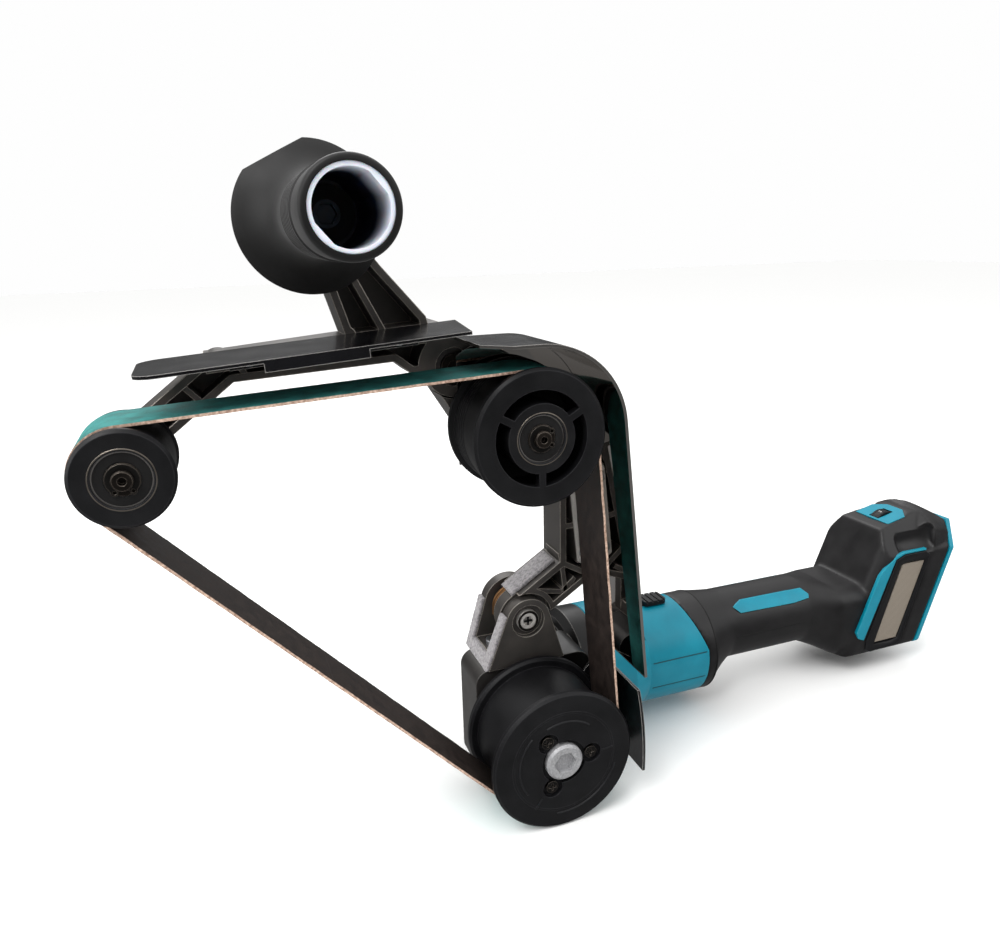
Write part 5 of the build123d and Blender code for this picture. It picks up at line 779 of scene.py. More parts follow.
@dataclass
class AbrasiveBelt:
    """The belt in four lengths, split at the middles of the wraps and of the low run."""

    maker: Maker
    width: float = 30.0
    thick: float = 1.2
    gap: float = 0.28
    cells: int = 8
    step: float = 2.5
    least_steps: int = 4
    middle: Point = (-63.0, 113.0)
    border: float = 0.1
    fray: float = 0.35
    fray_mm: Point = (2.0, 9.0)
    edge_turn: float = 0.7
    stations: tuple[tuple[Point, float], ...] = ((DRIVE_AXIS, 33.5), (UPPER_AXIS, UPPER_DRUM_R),
                                                 (FRONT_AXIS, 18.2))

    def following(self, number: int) -> int:
        """Number of the pulley that the belt reaches after another."""
        return (number + 1) % len(self.stations)

    def run_angle(self, number: int) -> float:
        """Angle at which a run leaves its pulley and meets the next, in degrees.

        Args:
            number: The pulley that the run leaves.

        Returns:
            The angle in side view.
        """
        start, start_r = self.stations[number]
        end, end_r = self.stations[self.following(number)]
        reach = math.hypot(end[0] - start[0], end[1] - start[1])
        heading = math.degrees(math.atan2(end[1] - start[1], end[0] - start[0]))
        return heading - math.degrees(math.acos((start_r - end_r) / reach))

    def wrap_middle(self, number: int) -> float:
        """Angle of the middle of the wrap round a pulley, in degrees."""
        before, after = self.run_angle(number - 1), self.run_angle(number)
        return before + (after - before) % FULL_TURN / 2

    def touch(self, number: int, angle: float) -> Point:
        """Point of the belt's inside on a pulley."""
        centre, radius = self.stations[number]
        return polar(centre, radius + self.gap, angle)

    def section(self, mesh: BMesh, angle: float, start: Point) -> list:
        """Draw the belt's cross section.

        Args:
            mesh: The mesh being made.
            angle: Angle of the outward direction.
            start: Point of the inside.

        Returns:
            Its vertices and edges.
        """
        sides = [self.width * (n / self.cells - 0.5) for n in range(self.cells + 1)]
        outside = polar(start, self.thick, angle)
        verts, edges = closed_line(mesh, [side_at(start, y) for y in sides]
                                   + [side_at(outside, y) for y in reversed(sides)])
        return verts + edges

    def wind(self, mesh: BMesh, geom: list, number: int, sweep: float) -> list:
        """Carry the section round a pulley.

        Args:
            mesh: The mesh being made.
            geom: Last vertices and edges.
            number: The pulley.
            sweep: Angle of the wrap, in degrees.

        Returns:
            The new last vertices and edges.
        """
        centre, radius = self.stations[number]
        steps = max(self.least_steps, round(math.radians(sweep) * radius / self.step))
        return bmesh.ops.spin(mesh, geom=geom, cent=side_at(centre), axis=-SIDE_Y,
                              angle=math.radians(sweep), steps=steps)["geom_last"]

    def draw(self, mesh: BMesh, geom: list, run: Vector) -> list:
        """Carry the section along a straight run.

        Args:
            mesh: The mesh being made.
            geom: Last vertices and edges.
            run: The run, in metres.

        Returns:
            The new last vertices and edges.
        """
        steps = round(run.length / (self.step * MM))
        for _ in range(steps):
            edges = [part for part in geom if isinstance(part, bmesh.types.BMEdge)]
            grown = bmesh.ops.extrude_edge_only(mesh, edges=edges)["geom"]
            geom = [part for part in grown if not isinstance(part, bmesh.types.BMFace)]
            bmesh.ops.translate(mesh, verts=[part for part in geom if isinstance(part, BMVert)],
                                vec=run / steps)
        return geom

    def roughen(self, mesh: BMesh) -> None:
        """Fray the cut edges and mark grit, backing and edge.

        Args:
            mesh: The mesh being made.
        """
        middle = side_at(self.middle)
        for vert in mesh.verts:
            if abs(vert.co.y - middle.y) > (self.width / 2 - self.border) * MM:
                ragged = sum(noise.noise(vert.co * per(size)) for size in self.fray_mm)
                vert.co.y += ragged * self.fray * MM
        for face in mesh.faces:
            if abs(face.normal.y) > self.edge_turn:
                face.material_index = 2
            elif face.normal.dot(face.calc_center_median() - middle) > 0:
                face.material_index = 1

    def length(self, name: str, number: int, share: Point, bodies: tuple[str, str]) -> None:
        """Make one length of belt, with half of each wrap that its run reaches.

        Args:
            name: Name of the piece.
            number: The pulley that the run leaves.
            share: Part of the run that the length covers.
            bodies: Bodies at its two ends; not used.
        """
        after = self.following(number)
        angle = self.run_angle(number)
        leave, reach = (side_at(self.touch(pulley, angle)) for pulley in (number, after))
        start, end = leave.lerp(reach, share[0]), leave.lerp(reach, share[1])
        mesh = bmesh.new()
        if share[0] == 0.0:
            first = self.wrap_middle(number)
            geom = self.section(mesh, first, self.touch(number, first))
            geom = self.wind(mesh, geom, number, (angle - first) % FULL_TURN)
        else:
            spot = (start - SPINDLE) / MM
            geom = self.section(mesh, angle, (spot.x, spot.z))
        geom = self.draw(mesh, geom, end - start)
        if share[1] == 1.0:
            self.wind(mesh, geom, after, (self.wrap_middle(after) - angle) % FULL_TURN)
        close_up(mesh)
        self.roughen(mesh)
        made = self.maker.piece(name, mesh, Slot.BELT,
                                coats=(Slot.BELT, Coat.GRIT, Coat.CUT_CLOTH))
        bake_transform(made)
        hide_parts("abrasive_belt")

    def build(self) -> None:
        """Make the four lengths."""
        self.length("belt_right_run", 0, (0.0, 1.0), ("tool", "main_arm"))
        self.length("belt_top_run", 1, (0.0, 1.0), ("main_arm", "front_arm"))
        self.length("belt_low_run_front", 2, (0.0, 0.5), ("front_arm", "main_arm"))
        self.length("belt_low_run_rear", 2, (0.5, 1.0), ("main_arm", "tool"))


@dataclass
class FeltPads:
    """Felt bumpers on the yoke and under the knee of the main arm."""

    maker: Maker
    cell: float = 0.5
    fluff: float = 0.18
    tuft_mm: Point = (1.6, 0.8)
    fine_share: float = 0.6
    pads: tuple[tuple[str, str], ...] = (("arm_pad", "main_arm"), ("yoke_pad", "tool"))

    def build(self) -> None:
        """Make both pads with a fibrous skin."""
        for node, body in self.pads:
            made = self.maker.piece(f"{node}_felt", whole_faces(node), Slot.FELT)
            revoxel(made, self.cell)
            for vert in settle(made).vertices:
                coarse, fine = (noise.noise(vert.co * per(size)) for size in self.tuft_mm)
                vert.co += vert.normal * (coarse + self.fine_share * fine) * self.fluff * MM
            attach(made, body)
            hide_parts(node)


@dataclass
class SideGrip:
    """Rubber sleeve of the side grip: tube with a ribbed band, bell with one flat."""

    maker: Maker
    centre: Point = (-97.0, 264.2)
    facets: int = 128
    end_y: float = -74.0
    back_y: float = 25.6
    bore: float = 14.03
    bolt: float = 5.05
    tube: float = 16.7
    neck: Point = (-4.0, 15.6)
    bell: Point = (22.4, 31.7)
    bell_edge: float = 0.8
    bell_land: float = 0.6
    sag: Point = (11.5, 19.1)
    sag_steps: int = 15
    flat: float = 28.5
    flat_deg: float = 117.0
    floor_y: float = -14.0
    ribs: tuple[float, ...] = (-20.0, -25.0, -30.0, -35.0, -40.0, -45.0, -50.0)
    rib: tuple[Point, ...] = ((1.6, 0.0), (0.9, 0.65), (-0.9, 0.65), (-1.6, 0.0))
    mouth: tuple[Point, ...] = ((2.0, 0.0), (0.6, -0.4), (0.0, -1.2))
    # Black ring of painted shade over the outer part of the bolt's head.
    washer: Point = (5.2, 10.6)
    washer_y: Point = (-22.5, -22.1)

    def profile(self) -> list[Point]:
        """Outline of the turned sleeve, from the bolt hole round the outside and back.

        Returns:
            Places along the grip and radii, in millimetres.
        """
        points = [(self.back_y, self.bolt), (self.back_y, self.bell[1] - self.bell_edge),
                  (self.back_y - self.bell_edge, self.bell[1]),
                  (self.bell[0] + self.bell_land, self.bell[1])]
        bend = [2 * self.sag[n] - (self.neck[n] + self.bell[n]) / 2 for n in (0, 1)]
        for step in range(1, self.sag_steps):
            t = step / self.sag_steps
            points.append(tuple((1 - t) ** 2 * self.bell[n] + 2 * t * (1 - t) * bend[n]
                                + t * t * self.neck[n] for n in (0, 1)))
        slope = (self.tube - self.neck[1]) / (self.end_y - self.neck[0])
        for y in self.ribs:
            radius = self.neck[1] + (y - self.neck[0]) * slope
            points += [(y + along, radius + rise) for along, rise in self.rib]
        points += [(self.end_y + along, self.tube + rise) for along, rise in self.mouth]
        return points + [(self.end_y, self.bore), (self.floor_y, self.bore),
                         (self.floor_y, self.bolt)]

    def build(self) -> None:
        """Turn the sleeve, cut the flat on its bell and lay a black ring of painted shade over the
        bolt's head.
        """
        hub = side_at(self.centre)
        mesh = turned(self.profile(), hub, steps=self.facets)
        way = polar((0.0, 0.0), 1.0, self.flat_deg)
        bmesh.ops.bisect_plane(mesh, geom=[*mesh.verts, *mesh.edges, *mesh.faces],
                               plane_co=side_at(polar(self.centre, self.flat, self.flat_deg)),
                               plane_no=(way[0], 0.0, way[1]), clear_outer=True)
        close_up(mesh)
        made = self.maker.piece("grip_sleeve_rubber", mesh, Slot.GRIP_RUBBER, "front_arm")
        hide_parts("grip_sleeve")
        # A black ring of painted shade hides the outer part of the bolt's head.
        self.maker.piece("grip_bolt_shade_ring", turned(band(*self.washer_y, *self.washer), hub),
                         Slot.BLACK_STEEL, "front_arm", (Coat.SEAM,))


@dataclass
class Pulleys:
    """Seals and rings of the idle pulleys, and the marks and screw crosses of the drive pulley."""

    maker: Maker
    seal_y: Point = (-19.65, -19.3)
    seal: Point = (6.6, 10.3)
    # Profiles are places from the pulley's face, and radii or steps from a radius.
    face_y: float = -20.5
    hub: tuple[Point, ...] = ((0.4, 11.1), (-0.05, 11.1), (-0.12, 11.35), (-0.12, 11.6),
                              (-0.02, 12.1), (0.4, 12.1))
    bright_r: float = 11.5
    rings: tuple[float, ...] = (3.0, 5.6, 8.2, 10.8, 13.4)
    ring: tuple[Point, ...] = ((-0.5, -0.3), (-0.5, 0.13), (0.0, 0.26), (0.5, 0.13), (0.5, -0.3))
    web_y: Point = (9.0, 10.5)
    web: Point = (12.0, 26.5)
    groove_y: Point = (-20.52, -20.2)
    groove: Point = (26.7, 28.1)
    arcs: tuple[Triple, ...] = ((22.6, 52.0, 62.0), (24.2, 135.0, 80.0), (29.6, 262.0, 82.0))
    arc: tuple[Point, ...] = ((0.3, -0.8), (-0.4, -0.2), (-0.4, 0.2), (0.3, 0.8))
    arc_steps: int = 40
    ticks: tuple[Triple, ...] = ((4.0, 20.5, 27.0), (236.0, 22.0, 28.5))
    tick_y: Point = (-20.75, -20.2)
    tick_wide: float = 0.9
    screw_r: float = 15.0
    screw_deg: tuple[float, ...] = (5.0, 125.0, 245.0)
    cross: Point = (4.2, 0.9)
    cross_y: Point = (-21.5, -18.9)

    def hub_dress(self, name: str, body: str, centre: Point) -> None:
        """Make the rubber seal and the bright ring in an idle pulley's face.

        Args:
            name: Start of the pieces' names.
            body: Body of the pulley.
            centre: Its axis in side view.
        """
        hub = side_at(centre)
        self.maker.piece(f"{name}_seal", turned(band(*self.seal_y, *self.seal), hub),
                         Slot.GRIP_RUBBER, body)
        mesh = turned([(self.face_y + along, radius) for along, radius in self.hub], hub)
        for face in mesh.faces:
            if math.hypot(*(face.calc_center_median() - hub).xz) > self.bright_r * MM:
                face.material_index = 1
        self.maker.piece(f"{name}_ring", mesh, Slot.BLACK_PLASTIC, body,
                         (Slot.BLACK_PLASTIC, Coat.BRIGHT_RING))

    def drum_rings(self) -> None:
        """Make the fine rings round the upper drum."""
        mesh = bmesh.new()
        for y in self.rings:
            turned([(y + along, UPPER_DRUM_R + rise) for along, rise in self.ring],
                   side_at(UPPER_AXIS), mesh=mesh)
        self.maker.piece("upper_drum_rings", mesh, Slot.BLACK_PLASTIC, "upper_wheel")

    def closed_web(self) -> None:
        """Make the closed web behind the spokes of the upper pulley, flat black as painted shade
        between the spokes.
        """
        mesh = turned(band(*self.web_y, *self.web), side_at(UPPER_AXIS))
        self.maker.piece("upper_pulley_web", mesh, Slot.BLACK_PLASTIC, "upper_wheel",
                         (Coat.SEAM,))

    def cap_marks(self) -> None:
        """Make the moulded arcs and ticks on the drive cap."""
        hub = side_at(DRIVE_AXIS)
        mesh = turned(band(*self.groove_y, *self.groove), hub)
        for radius, start, sweep in self.arcs:
            way = polar((0.0, 0.0), 1.0, start)
            turned([(self.face_y + along, radius + step) for along, step in self.arc], hub,
                   across=Vector((way[0], 0.0, way[1])), sweep_deg=sweep, steps=self.arc_steps,
                   mesh=mesh)
        for angle, low, high in self.ticks:
            ends = (polar(DRIVE_AXIS, radius, angle) for radius in (low, high))
            plate(bar(*ends, self.tick_wide), *self.tick_y, mesh)
        self.maker.piece("drive_cap_marks", mesh, Slot.BLACK_PLASTIC, "drive_pulley")

    def screw_crosses(self) -> None:
        """Cut a cross into each cap screw."""
        crosses = bmesh.new()
        for angle in self.screw_deg:
            for corners in cross_bars(polar(DRIVE_AXIS, self.screw_r, angle), *self.cross):
                plate(corners, *self.cross_y, crosses)
        cutter = linked("cross_cutter", crosses)
        made = self.maker.piece("cap_screw_heads", whole_faces("cap_screws"), Slot.BLACK_STEEL,
                                "drive_pulley")
        carve(made, cutter, crossing=True)
        settle(made, cutter).set_sharp_from_angle(angle=math.radians(SHARP_DEG))
        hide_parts("cap_screws")

    def build(self) -> None:
        """Make everything on the three pulleys."""
        self.hub_dress("upper_bearing", "upper_wheel", UPPER_AXIS)
        self.hub_dress("front_bearing", "front_wheel", FRONT_AXIS)
        self.drum_rings()
        self.closed_web()
        self.cap_marks()
        self.screw_crosses()


@dataclass
class CastRibs:
    """Cross ribs in the open pockets of both arms."""

    maker: Maker
    levels: Point = (25.8, 42.2)
    wide: float = 2.6
    main: tuple[tuple[Point, Point], ...] = (((19.5, 92.0), (22.5, 69.0)),
                                             ((3.0, 73.4), (20.5, 69.6)),
                                             ((20.5, 69.6), (28.0, 76.5)))
    lead: tuple[tuple[Point, Point], ...] = (((-157.0, 198.2), (-148.0, 188.2)),
                                             ((-134.5, 207.5), (-129.0, 198.6)))

    def build(self) -> None:
        """Make the ribs of each arm."""
        for body, lines in (("main_arm", self.main), ("front_arm", self.lead)):
            mesh = bmesh.new()
            for start, end in lines:
                plate(bar(start, end, self.wide), *self.levels, mesh)
            self.maker.piece(f"{body}_ribs", mesh, Slot.CAST_DARK, body)


@dataclass
class HingeBolt:
    """Dark rim in the head of the yoke's hinge bolt, and its cross recess drawn as a flat cross of
    painted shade.
    """

    maker: Maker
    node: str = "yoke_bolt"
    rim: tuple[Point, ...] = ((0.3, 4.3), (-0.25, 4.5), (-0.25, 5.8), (0.3, 6.0))
    cross: Point = (4.6, 1.0)
    cross_y: Point = (-0.04, 0.5)

    def build(self) -> None:
        """Make the rim, and the cross of painted shade, on the bolt's near end."""
        low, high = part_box(self.node)
        hub = Vector(((low.x + high.x) / 2, low.y, (low.z + high.z) / 2))
        self.maker.piece("yoke_bolt_rim", turned(list(self.rim), hub), Slot.BLACK_STEEL, "tool")
        mesh = bmesh.new()
        spot = (hub - SPINDLE) / MM
        for corners in cross_bars((spot.x, spot.z), *self.cross):
            plate(corners, *(spot.y + y for y in self.cross_y), mesh)
        self.maker.piece("yoke_bolt_cross", mesh, Slot.BLACK_STEEL, "tool", (Coat.SEAM,))


@dataclass
class HandleShell:
    """Both handle halves under one soft skin, with a collar at the rear and side scoops."""

    maker: Maker
    cell: float = 1.1
    soft: float = 0.5
    passes: int = 8
    halves: tuple[str, str] = ("handle_left", "handle_right")
    collar: tuple[Point, ...] = (
        (36.4, 30.0), (36.4, 54.0), (38.5, 59.6), (42.5, 63.2), (48.0, 66.4), (55.0, 68.9),
        (64.5, 70.4), (74.0, 68.9), (81.0, 66.4), (86.5, 63.2), (90.5, 59.6), (92.6, 54.0),
        (92.6, 30.0))
    # Each section of the collar: its place, how much it is narrower and lower, and its top.
    lofts: tuple[tuple[float, float, float, float], ...] = (
        (287.0, 7.0, 7.0, 64.0), (297.0, 0.0, 0.0, 71.0), (304.0, 0.5, 2.0, 67.4),
        (311.0, 1.5, 4.4, 63.6), (318.0, 2.8, 7.0, 60.0))
    lean: float = 0.3365
    lean_z: float = 54.0
    scoop_x: Point = (272.0, 303.0)
    scoop_y: float = 34.0
    scoop_z: float = 54.0
    scoop_r: float = 11.0
    scoop_round: float = 4.0
    scoop_steps: int = 4
    well_r: float = 11.2
    well_wide: float = 8.6
    facets: int = 48

    def collar_section(self, x: float, inset: float, drop: float, top: float) -> list[Vector]:
        """Corners of one section of the collar.

        Args:
            x: Its place along the foot.
            inset: How much it is narrower on each side.
            drop: How much it is lower.
            top: Height at which it is cut off.

        Returns:
            The corners in order, in metres.
        """
        points = []
        for y, z in self.collar:
            reach = MOTOR_Y - y
            side = y + math.copysign(min(inset, abs(reach)), reach)
            points.append(at(x + (z - self.lean_z) * self.lean, side, min(z - drop, top)))
        return points

    def rod(self, mesh: BMesh, centre: Vector, radius: float, long: float, axis: str) -> None:
        """Add a round rod.

        Args:
            mesh: The mesh being made.
            centre: Its middle, in metres.
            radius: Its radius, in millimetres.
            long: Its length, in millimetres.
            axis: The axis about which it is laid over from upright.
        """
        bmesh.ops.create_cone(mesh, cap_ends=True, segments=self.facets, radius1=radius * MM,
                              radius2=radius * MM, depth=long * MM,
                              matrix=Matrix.Translation(centre)
                              @ Matrix.Rotation(math.pi / 2, 4, axis))

    def scoops(self) -> bpy.types.Object:
        """Rounded cutters that hollow both flanks above the filters.

        Returns:
            The cutters as one object.
        """
        cutter = bmesh.new()
        front, rear = self.scoop_x
        for y in (self.scoop_y, 2 * MOTOR_Y - self.scoop_y):
            self.rod(cutter, at((front + rear) / 2, y, self.scoop_z), self.scoop_r, rear - front,
                     "Y")
        round_edges(cutter, self.scoop_round, self.scoop_steps)
        return linked("scoop_cutter", cutter)

    def dial_room(self) -> bpy.types.Object:
        """Round cutter that gives the speed dial room to turn.

        Returns:
            The cutter.
        """
        cutter = bmesh.new()
        self.rod(cutter, side_at(DIAL_AXIS, MOTOR_Y), self.well_r, self.well_wide, "X")
        return linked("dial_cutter", cutter)

    def build(self) -> None:
        """Join halves and collar, cut the scoops, round everything off and free the dial."""
        mesh = merged_nodes(*self.halves)
        lofted(mesh, [self.collar_section(*loft) for loft in self.lofts])
        made = self.maker.piece("handle_shell", mesh, Slot.BLACK_PLASTIC, "tool",
                                (Coat.OVERMOULD,))
        scoops, room = self.scoops(), self.dial_room()
        revoxel(made, self.cell)
        carve(made, scoops)
        soft = made.modifiers.new("soft", "SMOOTH")
        soft.factor = self.soft
        soft.iterations = self.passes
        carve(made, room)
        LOG.info("handle shell has %d faces", len(settle(made, scoops, room).polygons))
        for node in self.halves:
            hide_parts(node)


@dataclass
class BatteryFoot:
    """Dust filters on both sides of the foot, with their bevelled frames and teal strips."""

    maker: Maker
    half_width: float = 29.0
    rim: tuple[Point, ...] = (
        (268.7, 42.0), (275.4, 44.8), (293.4, 44.8), (297.6, 41.6), (279.2, -19.4),
        (276.0, -21.0), (253.4, -22.0), (249.2, -19.6), (249.4, -13.0))
    window: tuple[Point, ...] = (
        (274.2, 36.9), (278.9, 38.4), (294.6, 37.7), (277.6, -17.0), (271.6, -18.0),
        (257.4, -18.0))
    strip: tuple[Point, ...] = (
        (294.0, 46.6), (275.0, 46.7), (269.2, 44.9), (260.1, 37.9), (255.7, 32.9), (240.8, -6.0),
        (242.8, -10.5), (247.6, -12.5), (268.2, 42.3), (275.2, 45.2), (294.0, 45.2))
    # Depths are counted inwards from the side of the foot.
    rim_y: float = -1.1
    window_y: float = 0.4
    strip_y: float = -0.35
    root_y: float = 2.0
    rim_round: float = 0.6
    strip_round: float = 0.25
    corner_x: float = 250.0
    corner_deg: float = 18.6

    def side(self, depth: float) -> float:
        """Y of a depth on the near side."""
        return MOTOR_Y - self.half_width + depth

    def frame_mesh(self) -> BMesh:
        """Frame of the near side, sloping into its window.

        Returns:
            The mesh.
        """
        levels = ((self.rim, self.root_y), (self.rim, self.rim_y), (self.window, self.window_y),
                  (self.window, self.root_y))
        mesh = lofted(bmesh.new(), [[side_at(corner, self.side(depth)) for corner in outline]
                                    for outline, depth in levels], ring=True)
        round_edges(mesh, self.rim_round)
        return mesh

    def trim_far(self, mesh: BMesh) -> None:
        """Cut the far strip off at the rounded corner of the foot.

        Args:
            mesh: Both strips.
        """
        lean = math.radians(self.corner_deg)
        middle = at(0.0, MOTOR_Y, 0.0).y
        far = [vert for vert in mesh.verts if vert.co.y > middle]
        far += [part for part in (*mesh.edges, *mesh.faces) if part.verts[0].co.y > middle]
        bmesh.ops.bisect_plane(mesh, geom=far, plane_co=at(self.corner_x, 0.0, 0.0),
                               plane_no=(-math.cos(lean), 0.0, math.sin(lean)), clear_outer=True)
        close_up(mesh)

    def build(self) -> None:
        """Make frames and strips, near and far."""
        frames = self.frame_mesh()
        strips = plate(list(self.strip), self.side(self.strip_y), self.side(self.root_y))
        round_edges(strips, self.strip_round, 1)
        for mesh in (frames, strips):
            bmesh.ops.mirror(mesh, geom=[*mesh.verts, *mesh.edges, *mesh.faces], axis="Y",
                             merge_dist=0.0,
                             matrix=Matrix.Translation(at(0.0, MOTOR_Y, 0.0)).inverted())
            bmesh.ops.recalc_face_normals(mesh, faces=mesh.faces)
        made = self.maker.piece("filter_frames_bevelled", frames, Slot.BLACK_PLASTIC, "tool")
        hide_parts("filter_frames")
        self.trim_far(strips)
        self.maker.piece("foot_teal_strips", strips, Slot.TEAL_PLASTIC, "tool")


@dataclass
class BodySeams:
    """Moulded lines of the motor housing and the handle."""

    maker: Maker
    housing_r: float = 31.4
    housing_x: Point = (84.0, 121.5)
    housing_z: tuple[float, ...] = (7.2, -9.4)
    handle_r: float = 22.5
    handle_z: float = 7.0
    handle_x: Point = (150.0, 199.0)
    collar_x: Point = (128.6, 129.3)
    collar_root: float = 0.8
    wide: float = 0.7
    rise: float = 0.12
    root: float = 1.0

    def line_pair(self, mesh: BMesh, ends: Point, z: float, reach: float) -> None:
        """Add a level line on each side.

        Args:
            mesh: The mesh being made.
            ends: Where it starts and ends along the tool.
            z: Its height.
            reach: How far the surface lies from the middle there.
        """
        corners = bar((ends[0], z), (ends[1], z), self.wide)
        for way in (-1, 1):
            levels = sorted((MOTOR_Y + way * (reach + self.rise),
                             MOTOR_Y + way * (reach - self.root)))
            plate(corners, *levels, mesh)

    def build(self) -> None:
        """Make the lines on both sides and the collar's ring."""
        mesh = bmesh.new()
        for z in self.housing_z:
            self.line_pair(mesh, self.housing_x, z, math.sqrt(self.housing_r ** 2 - z ** 2))
        self.maker.piece("housing_lines", mesh, Slot.TEAL_PLASTIC, "tool", (Coat.TEAL_SEAM,))
        mesh = bmesh.new()
        self.line_pair(mesh, self.handle_x, self.handle_z, self.handle_r)
        radii = (self.housing_r - self.collar_root, self.housing_r + self.rise)
        turned(band(*self.collar_x, *radii), at(0.0, MOTOR_Y, 0.0), MOTOR_X, UP, mesh=mesh)
        self.maker.piece("handle_lines", mesh, Slot.BLACK_PLASTIC, "tool", (Coat.SEAM,))


@dataclass
class SpeedDial:
    """Ridges and numbers round the rim of the speed dial."""

    maker: Maker
    radius: float = 10.0
    ridges: int = 40
    ridge: Triple = (0.7, 1.4, 0.5)
    ridge_y: float = 2.6
    numbers: tuple[str, ...] = ("1", "2", "3", "4", "5")
    window_deg: float = -15.0
    step_deg: float = 70.0
    tall: float = 3.6
    ink: float = 0.08
    rise: float = 0.05

    def rim_place(self, angle: float, y: float, rise: float) -> Matrix:
        """Place on the dial's rim.

        Args:
            angle: Angle from the top, in degrees.
            y: Distance from the dial's middle.
            rise: Height over the rim.

        Returns:
            Matrix that puts a shape there, with its z outwards.
        """
        return (Matrix.Translation(side_at(DIAL_AXIS, MOTOR_Y))
                @ Matrix.Rotation(math.radians(angle), 4, SIDE_Y)
                @ Matrix.Translation(Vector((0.0, y, self.radius + rise)) * MM))

    def number_mesh(self, sign: str) -> BMesh:
        """Flat number, lying at the origin.

        Args:
            sign: The number.

        Returns:
            The mesh.
        """
        curve = bpy.data.curves.new(f"dial_number_{sign}", "FONT")
        curve.body = sign
        curve.size = self.tall * MM
        curve.extrude = self.ink * MM
        curve.align_x = "CENTER"
        curve.align_y = "CENTER"
        drawn = bpy.data.objects.new(curve.name, curve)
        mesh = bmesh.new()
        mesh.from_mesh(bpy.data.meshes.new_from_object(drawn))
        bpy.data.objects.remove(drawn)
        return mesh

    def build(self) -> None:
        """Make the ridges and the numbers."""
        mesh = bmesh.new()
        size = Matrix.Diagonal((*Vector(self.ridge) * MM, 1.0))
        for n in range(self.ridges):
            for way in (-1, 1):
                place = self.rim_place(n * FULL_TURN / self.ridges, way * self.ridge_y, 0.0)
                bmesh.ops.create_cube(mesh, size=1.0, matrix=place @ size)
        self.maker.piece("dial_ridges", mesh, Slot.BLACK_PLASTIC, "dial")
        for n, sign in enumerate(self.numbers):
            mesh = self.number_mesh(sign)
            angle = self.window_deg + (len(self.numbers) // 2 - n) * self.step_deg
            bmesh.ops.transform(mesh, matrix=self.rim_place(angle, 0.0, self.rise),
                                verts=mesh.verts)
            self.maker.piece(f"dial_number_{sign}", mesh, Slot.LINER, "dial", (Coat.INK,))


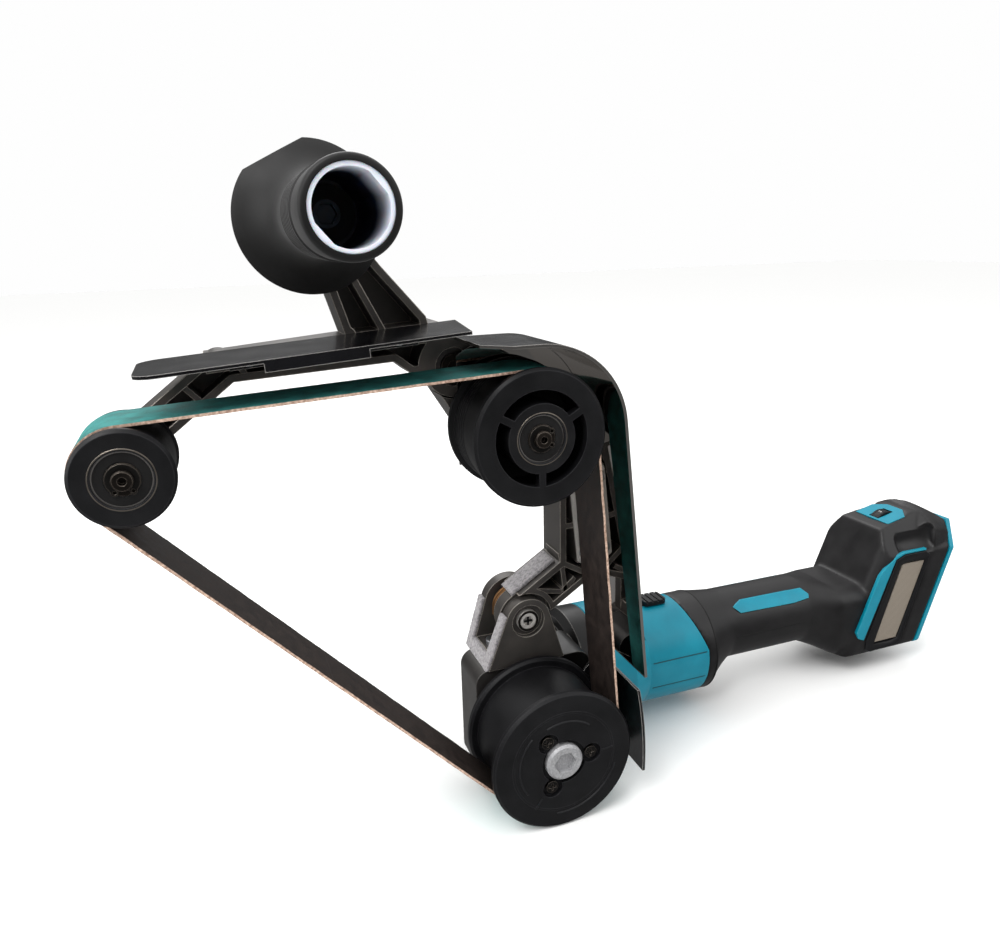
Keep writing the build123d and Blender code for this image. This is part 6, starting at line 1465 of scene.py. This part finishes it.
@dataclass
class Studio:
    """Pale floor, soft lights and the camera."""

    eye_mm: Triple = (-145.637, -334.320, 253.963)
    right: Triple = (0.936103, -0.350886, -0.024280)
    up: Triple = (0.117130, 0.245903, 0.962191)
    back: Triple = (-0.331649, -0.903554, 0.271290)
    lens_mm: float = 28.703
    sensor_mm: float = 36.0
    nearest: float = 0.01
    floor_half: float = 6.0
    paper: Finish = Finish("matte_paper_white", "f9f9f8", "fbfbfa", (0.8, 0.9), grain_mm=4.0,
                           relief=0.02)
    background: str = "fefefe"
    look: Triple = (0.0, 0.0, 0.15)
    # Each lamp: its name, place in metres, side in metres and power in watts.
    lamps: tuple[tuple[str, Triple, float, float], ...] = (
        ("key", (-1.0, -0.6, 1.5), 0.8, 18.0), ("fill", (1.3, -0.9, 0.9), 1.1, 5.0),
        ("back", (0.2, 1.3, 1.3), 1.2, 10.0), ("left", (-1.8, 0.1, 0.6), 1.0, 9.0))

    def camera(self) -> None:
        """Set up the camera at the viewing angle of the picture, placed from the spindle."""
        data = bpy.data.cameras.new("camera")
        data.lens = self.lens_mm
        data.sensor_width = self.sensor_mm
        data.clip_start = self.nearest
        eye = bpy.data.objects.new("camera", data)
        turn = Matrix((self.right, self.up, self.back)).transposed().to_4x4()
        eye.matrix_world = Matrix.Translation(at(*self.eye_mm)) @ turn
        bpy.context.scene.collection.objects.link(eye)
        bpy.context.scene.camera = eye

    def lamp(self, name: str, place: Triple, size: float, watts: float) -> None:
        """Hang one square soft lamp that faces the part.

        Args:
            name: Name of the lamp.
            place: Where it hangs, in metres.
            size: Side of the lamp, in metres.
            watts: Power.
        """
        data = bpy.data.lights.new(name, "AREA")
        data.size = size
        data.energy = watts
        lamp = bpy.data.objects.new(name, data)
        lamp.location = place
        facing = Vector(self.look) - Vector(place)
        lamp.rotation_euler = facing.to_track_quat("-Z", "Y").to_euler()
        bpy.context.scene.collection.objects.link(lamp)

    def air(self) -> None:
        """Set a dome, bright overhead, dim at eye level, grey below, before a white background."""
        world = bpy.data.worlds.new("studio_air")
        world.use_nodes = True
        tree = world.node_tree
        way = add_node(tree, "ShaderNodeTexCoord").outputs["Generated"]
        height = add_node(tree, "ShaderNodeSeparateXYZ", {"Vector": way}).outputs["Z"]
        above = add_node(tree, "ShaderNodeMapRange",
                         {"Value": height, "From Min": 0.1, "From Max": 0.95, "To Min": 0.12,
                          "To Max": 1.9}).outputs["Result"]
        below = add_node(tree, "ShaderNodeMapRange",
                         {"Value": height, "From Min": -0.05, "From Max": -0.4,
                          "To Max": 0.22}).outputs["Result"]
        whole = add_node(tree, "ShaderNodeMath", {0: above, 1: below},
                         operation="ADD").outputs["Value"]
        dome = add_node(tree, "ShaderNodeBackground", {"Strength": whole}).outputs["Background"]
        seen = add_node(tree, "ShaderNodeBackground",
                        {"Color": linear(self.background)}).outputs["Background"]
        eye = add_node(tree, "ShaderNodeLightPath").outputs["Is Camera Ray"]
        mixed = add_node(tree, "ShaderNodeMixShader", {0: eye, 1: dome, 2: seen})
        tree.links.new(mixed.outputs["Shader"], tree.nodes["World Output"].inputs["Surface"])
        bpy.context.scene.world = world

    def build(self) -> None:
        """Lay the floor, hang the lamps and set the camera."""
        sheet = bmesh.new()
        bmesh.ops.create_grid(sheet, x_segments=1, y_segments=1, size=self.floor_half)
        floor = linked("studio_floor", sheet)
        floor.data.materials.append(self.paper.build())
        floor.visible_glossy = False
        self.air()
        bpy.context.scene.view_settings.view_transform = "Standard"
        for lamp in self.lamps:
            self.lamp(*lamp)
        self.camera()


def write_sizes() -> None:
    """Update the view layer."""
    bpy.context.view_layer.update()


def main() -> None:
    """Dress the nodes, build the pieces and the studio."""
    logging.basicConfig(level=logging.INFO, format="%(name)s: %(message)s")
    paint = Paint()
    paint.dress_nodes()
    maker = Maker(paint)
    for assembly in (AbrasiveBelt, FeltPads, SideGrip, Pulleys, CastRibs, HingeBolt, HandleShell,
                     BatteryFoot, BodySeams, SpeedDial):
        assembly(maker).build()
    Studio().build()
    write_sizes()


if __name__ == "__main__":
    main()
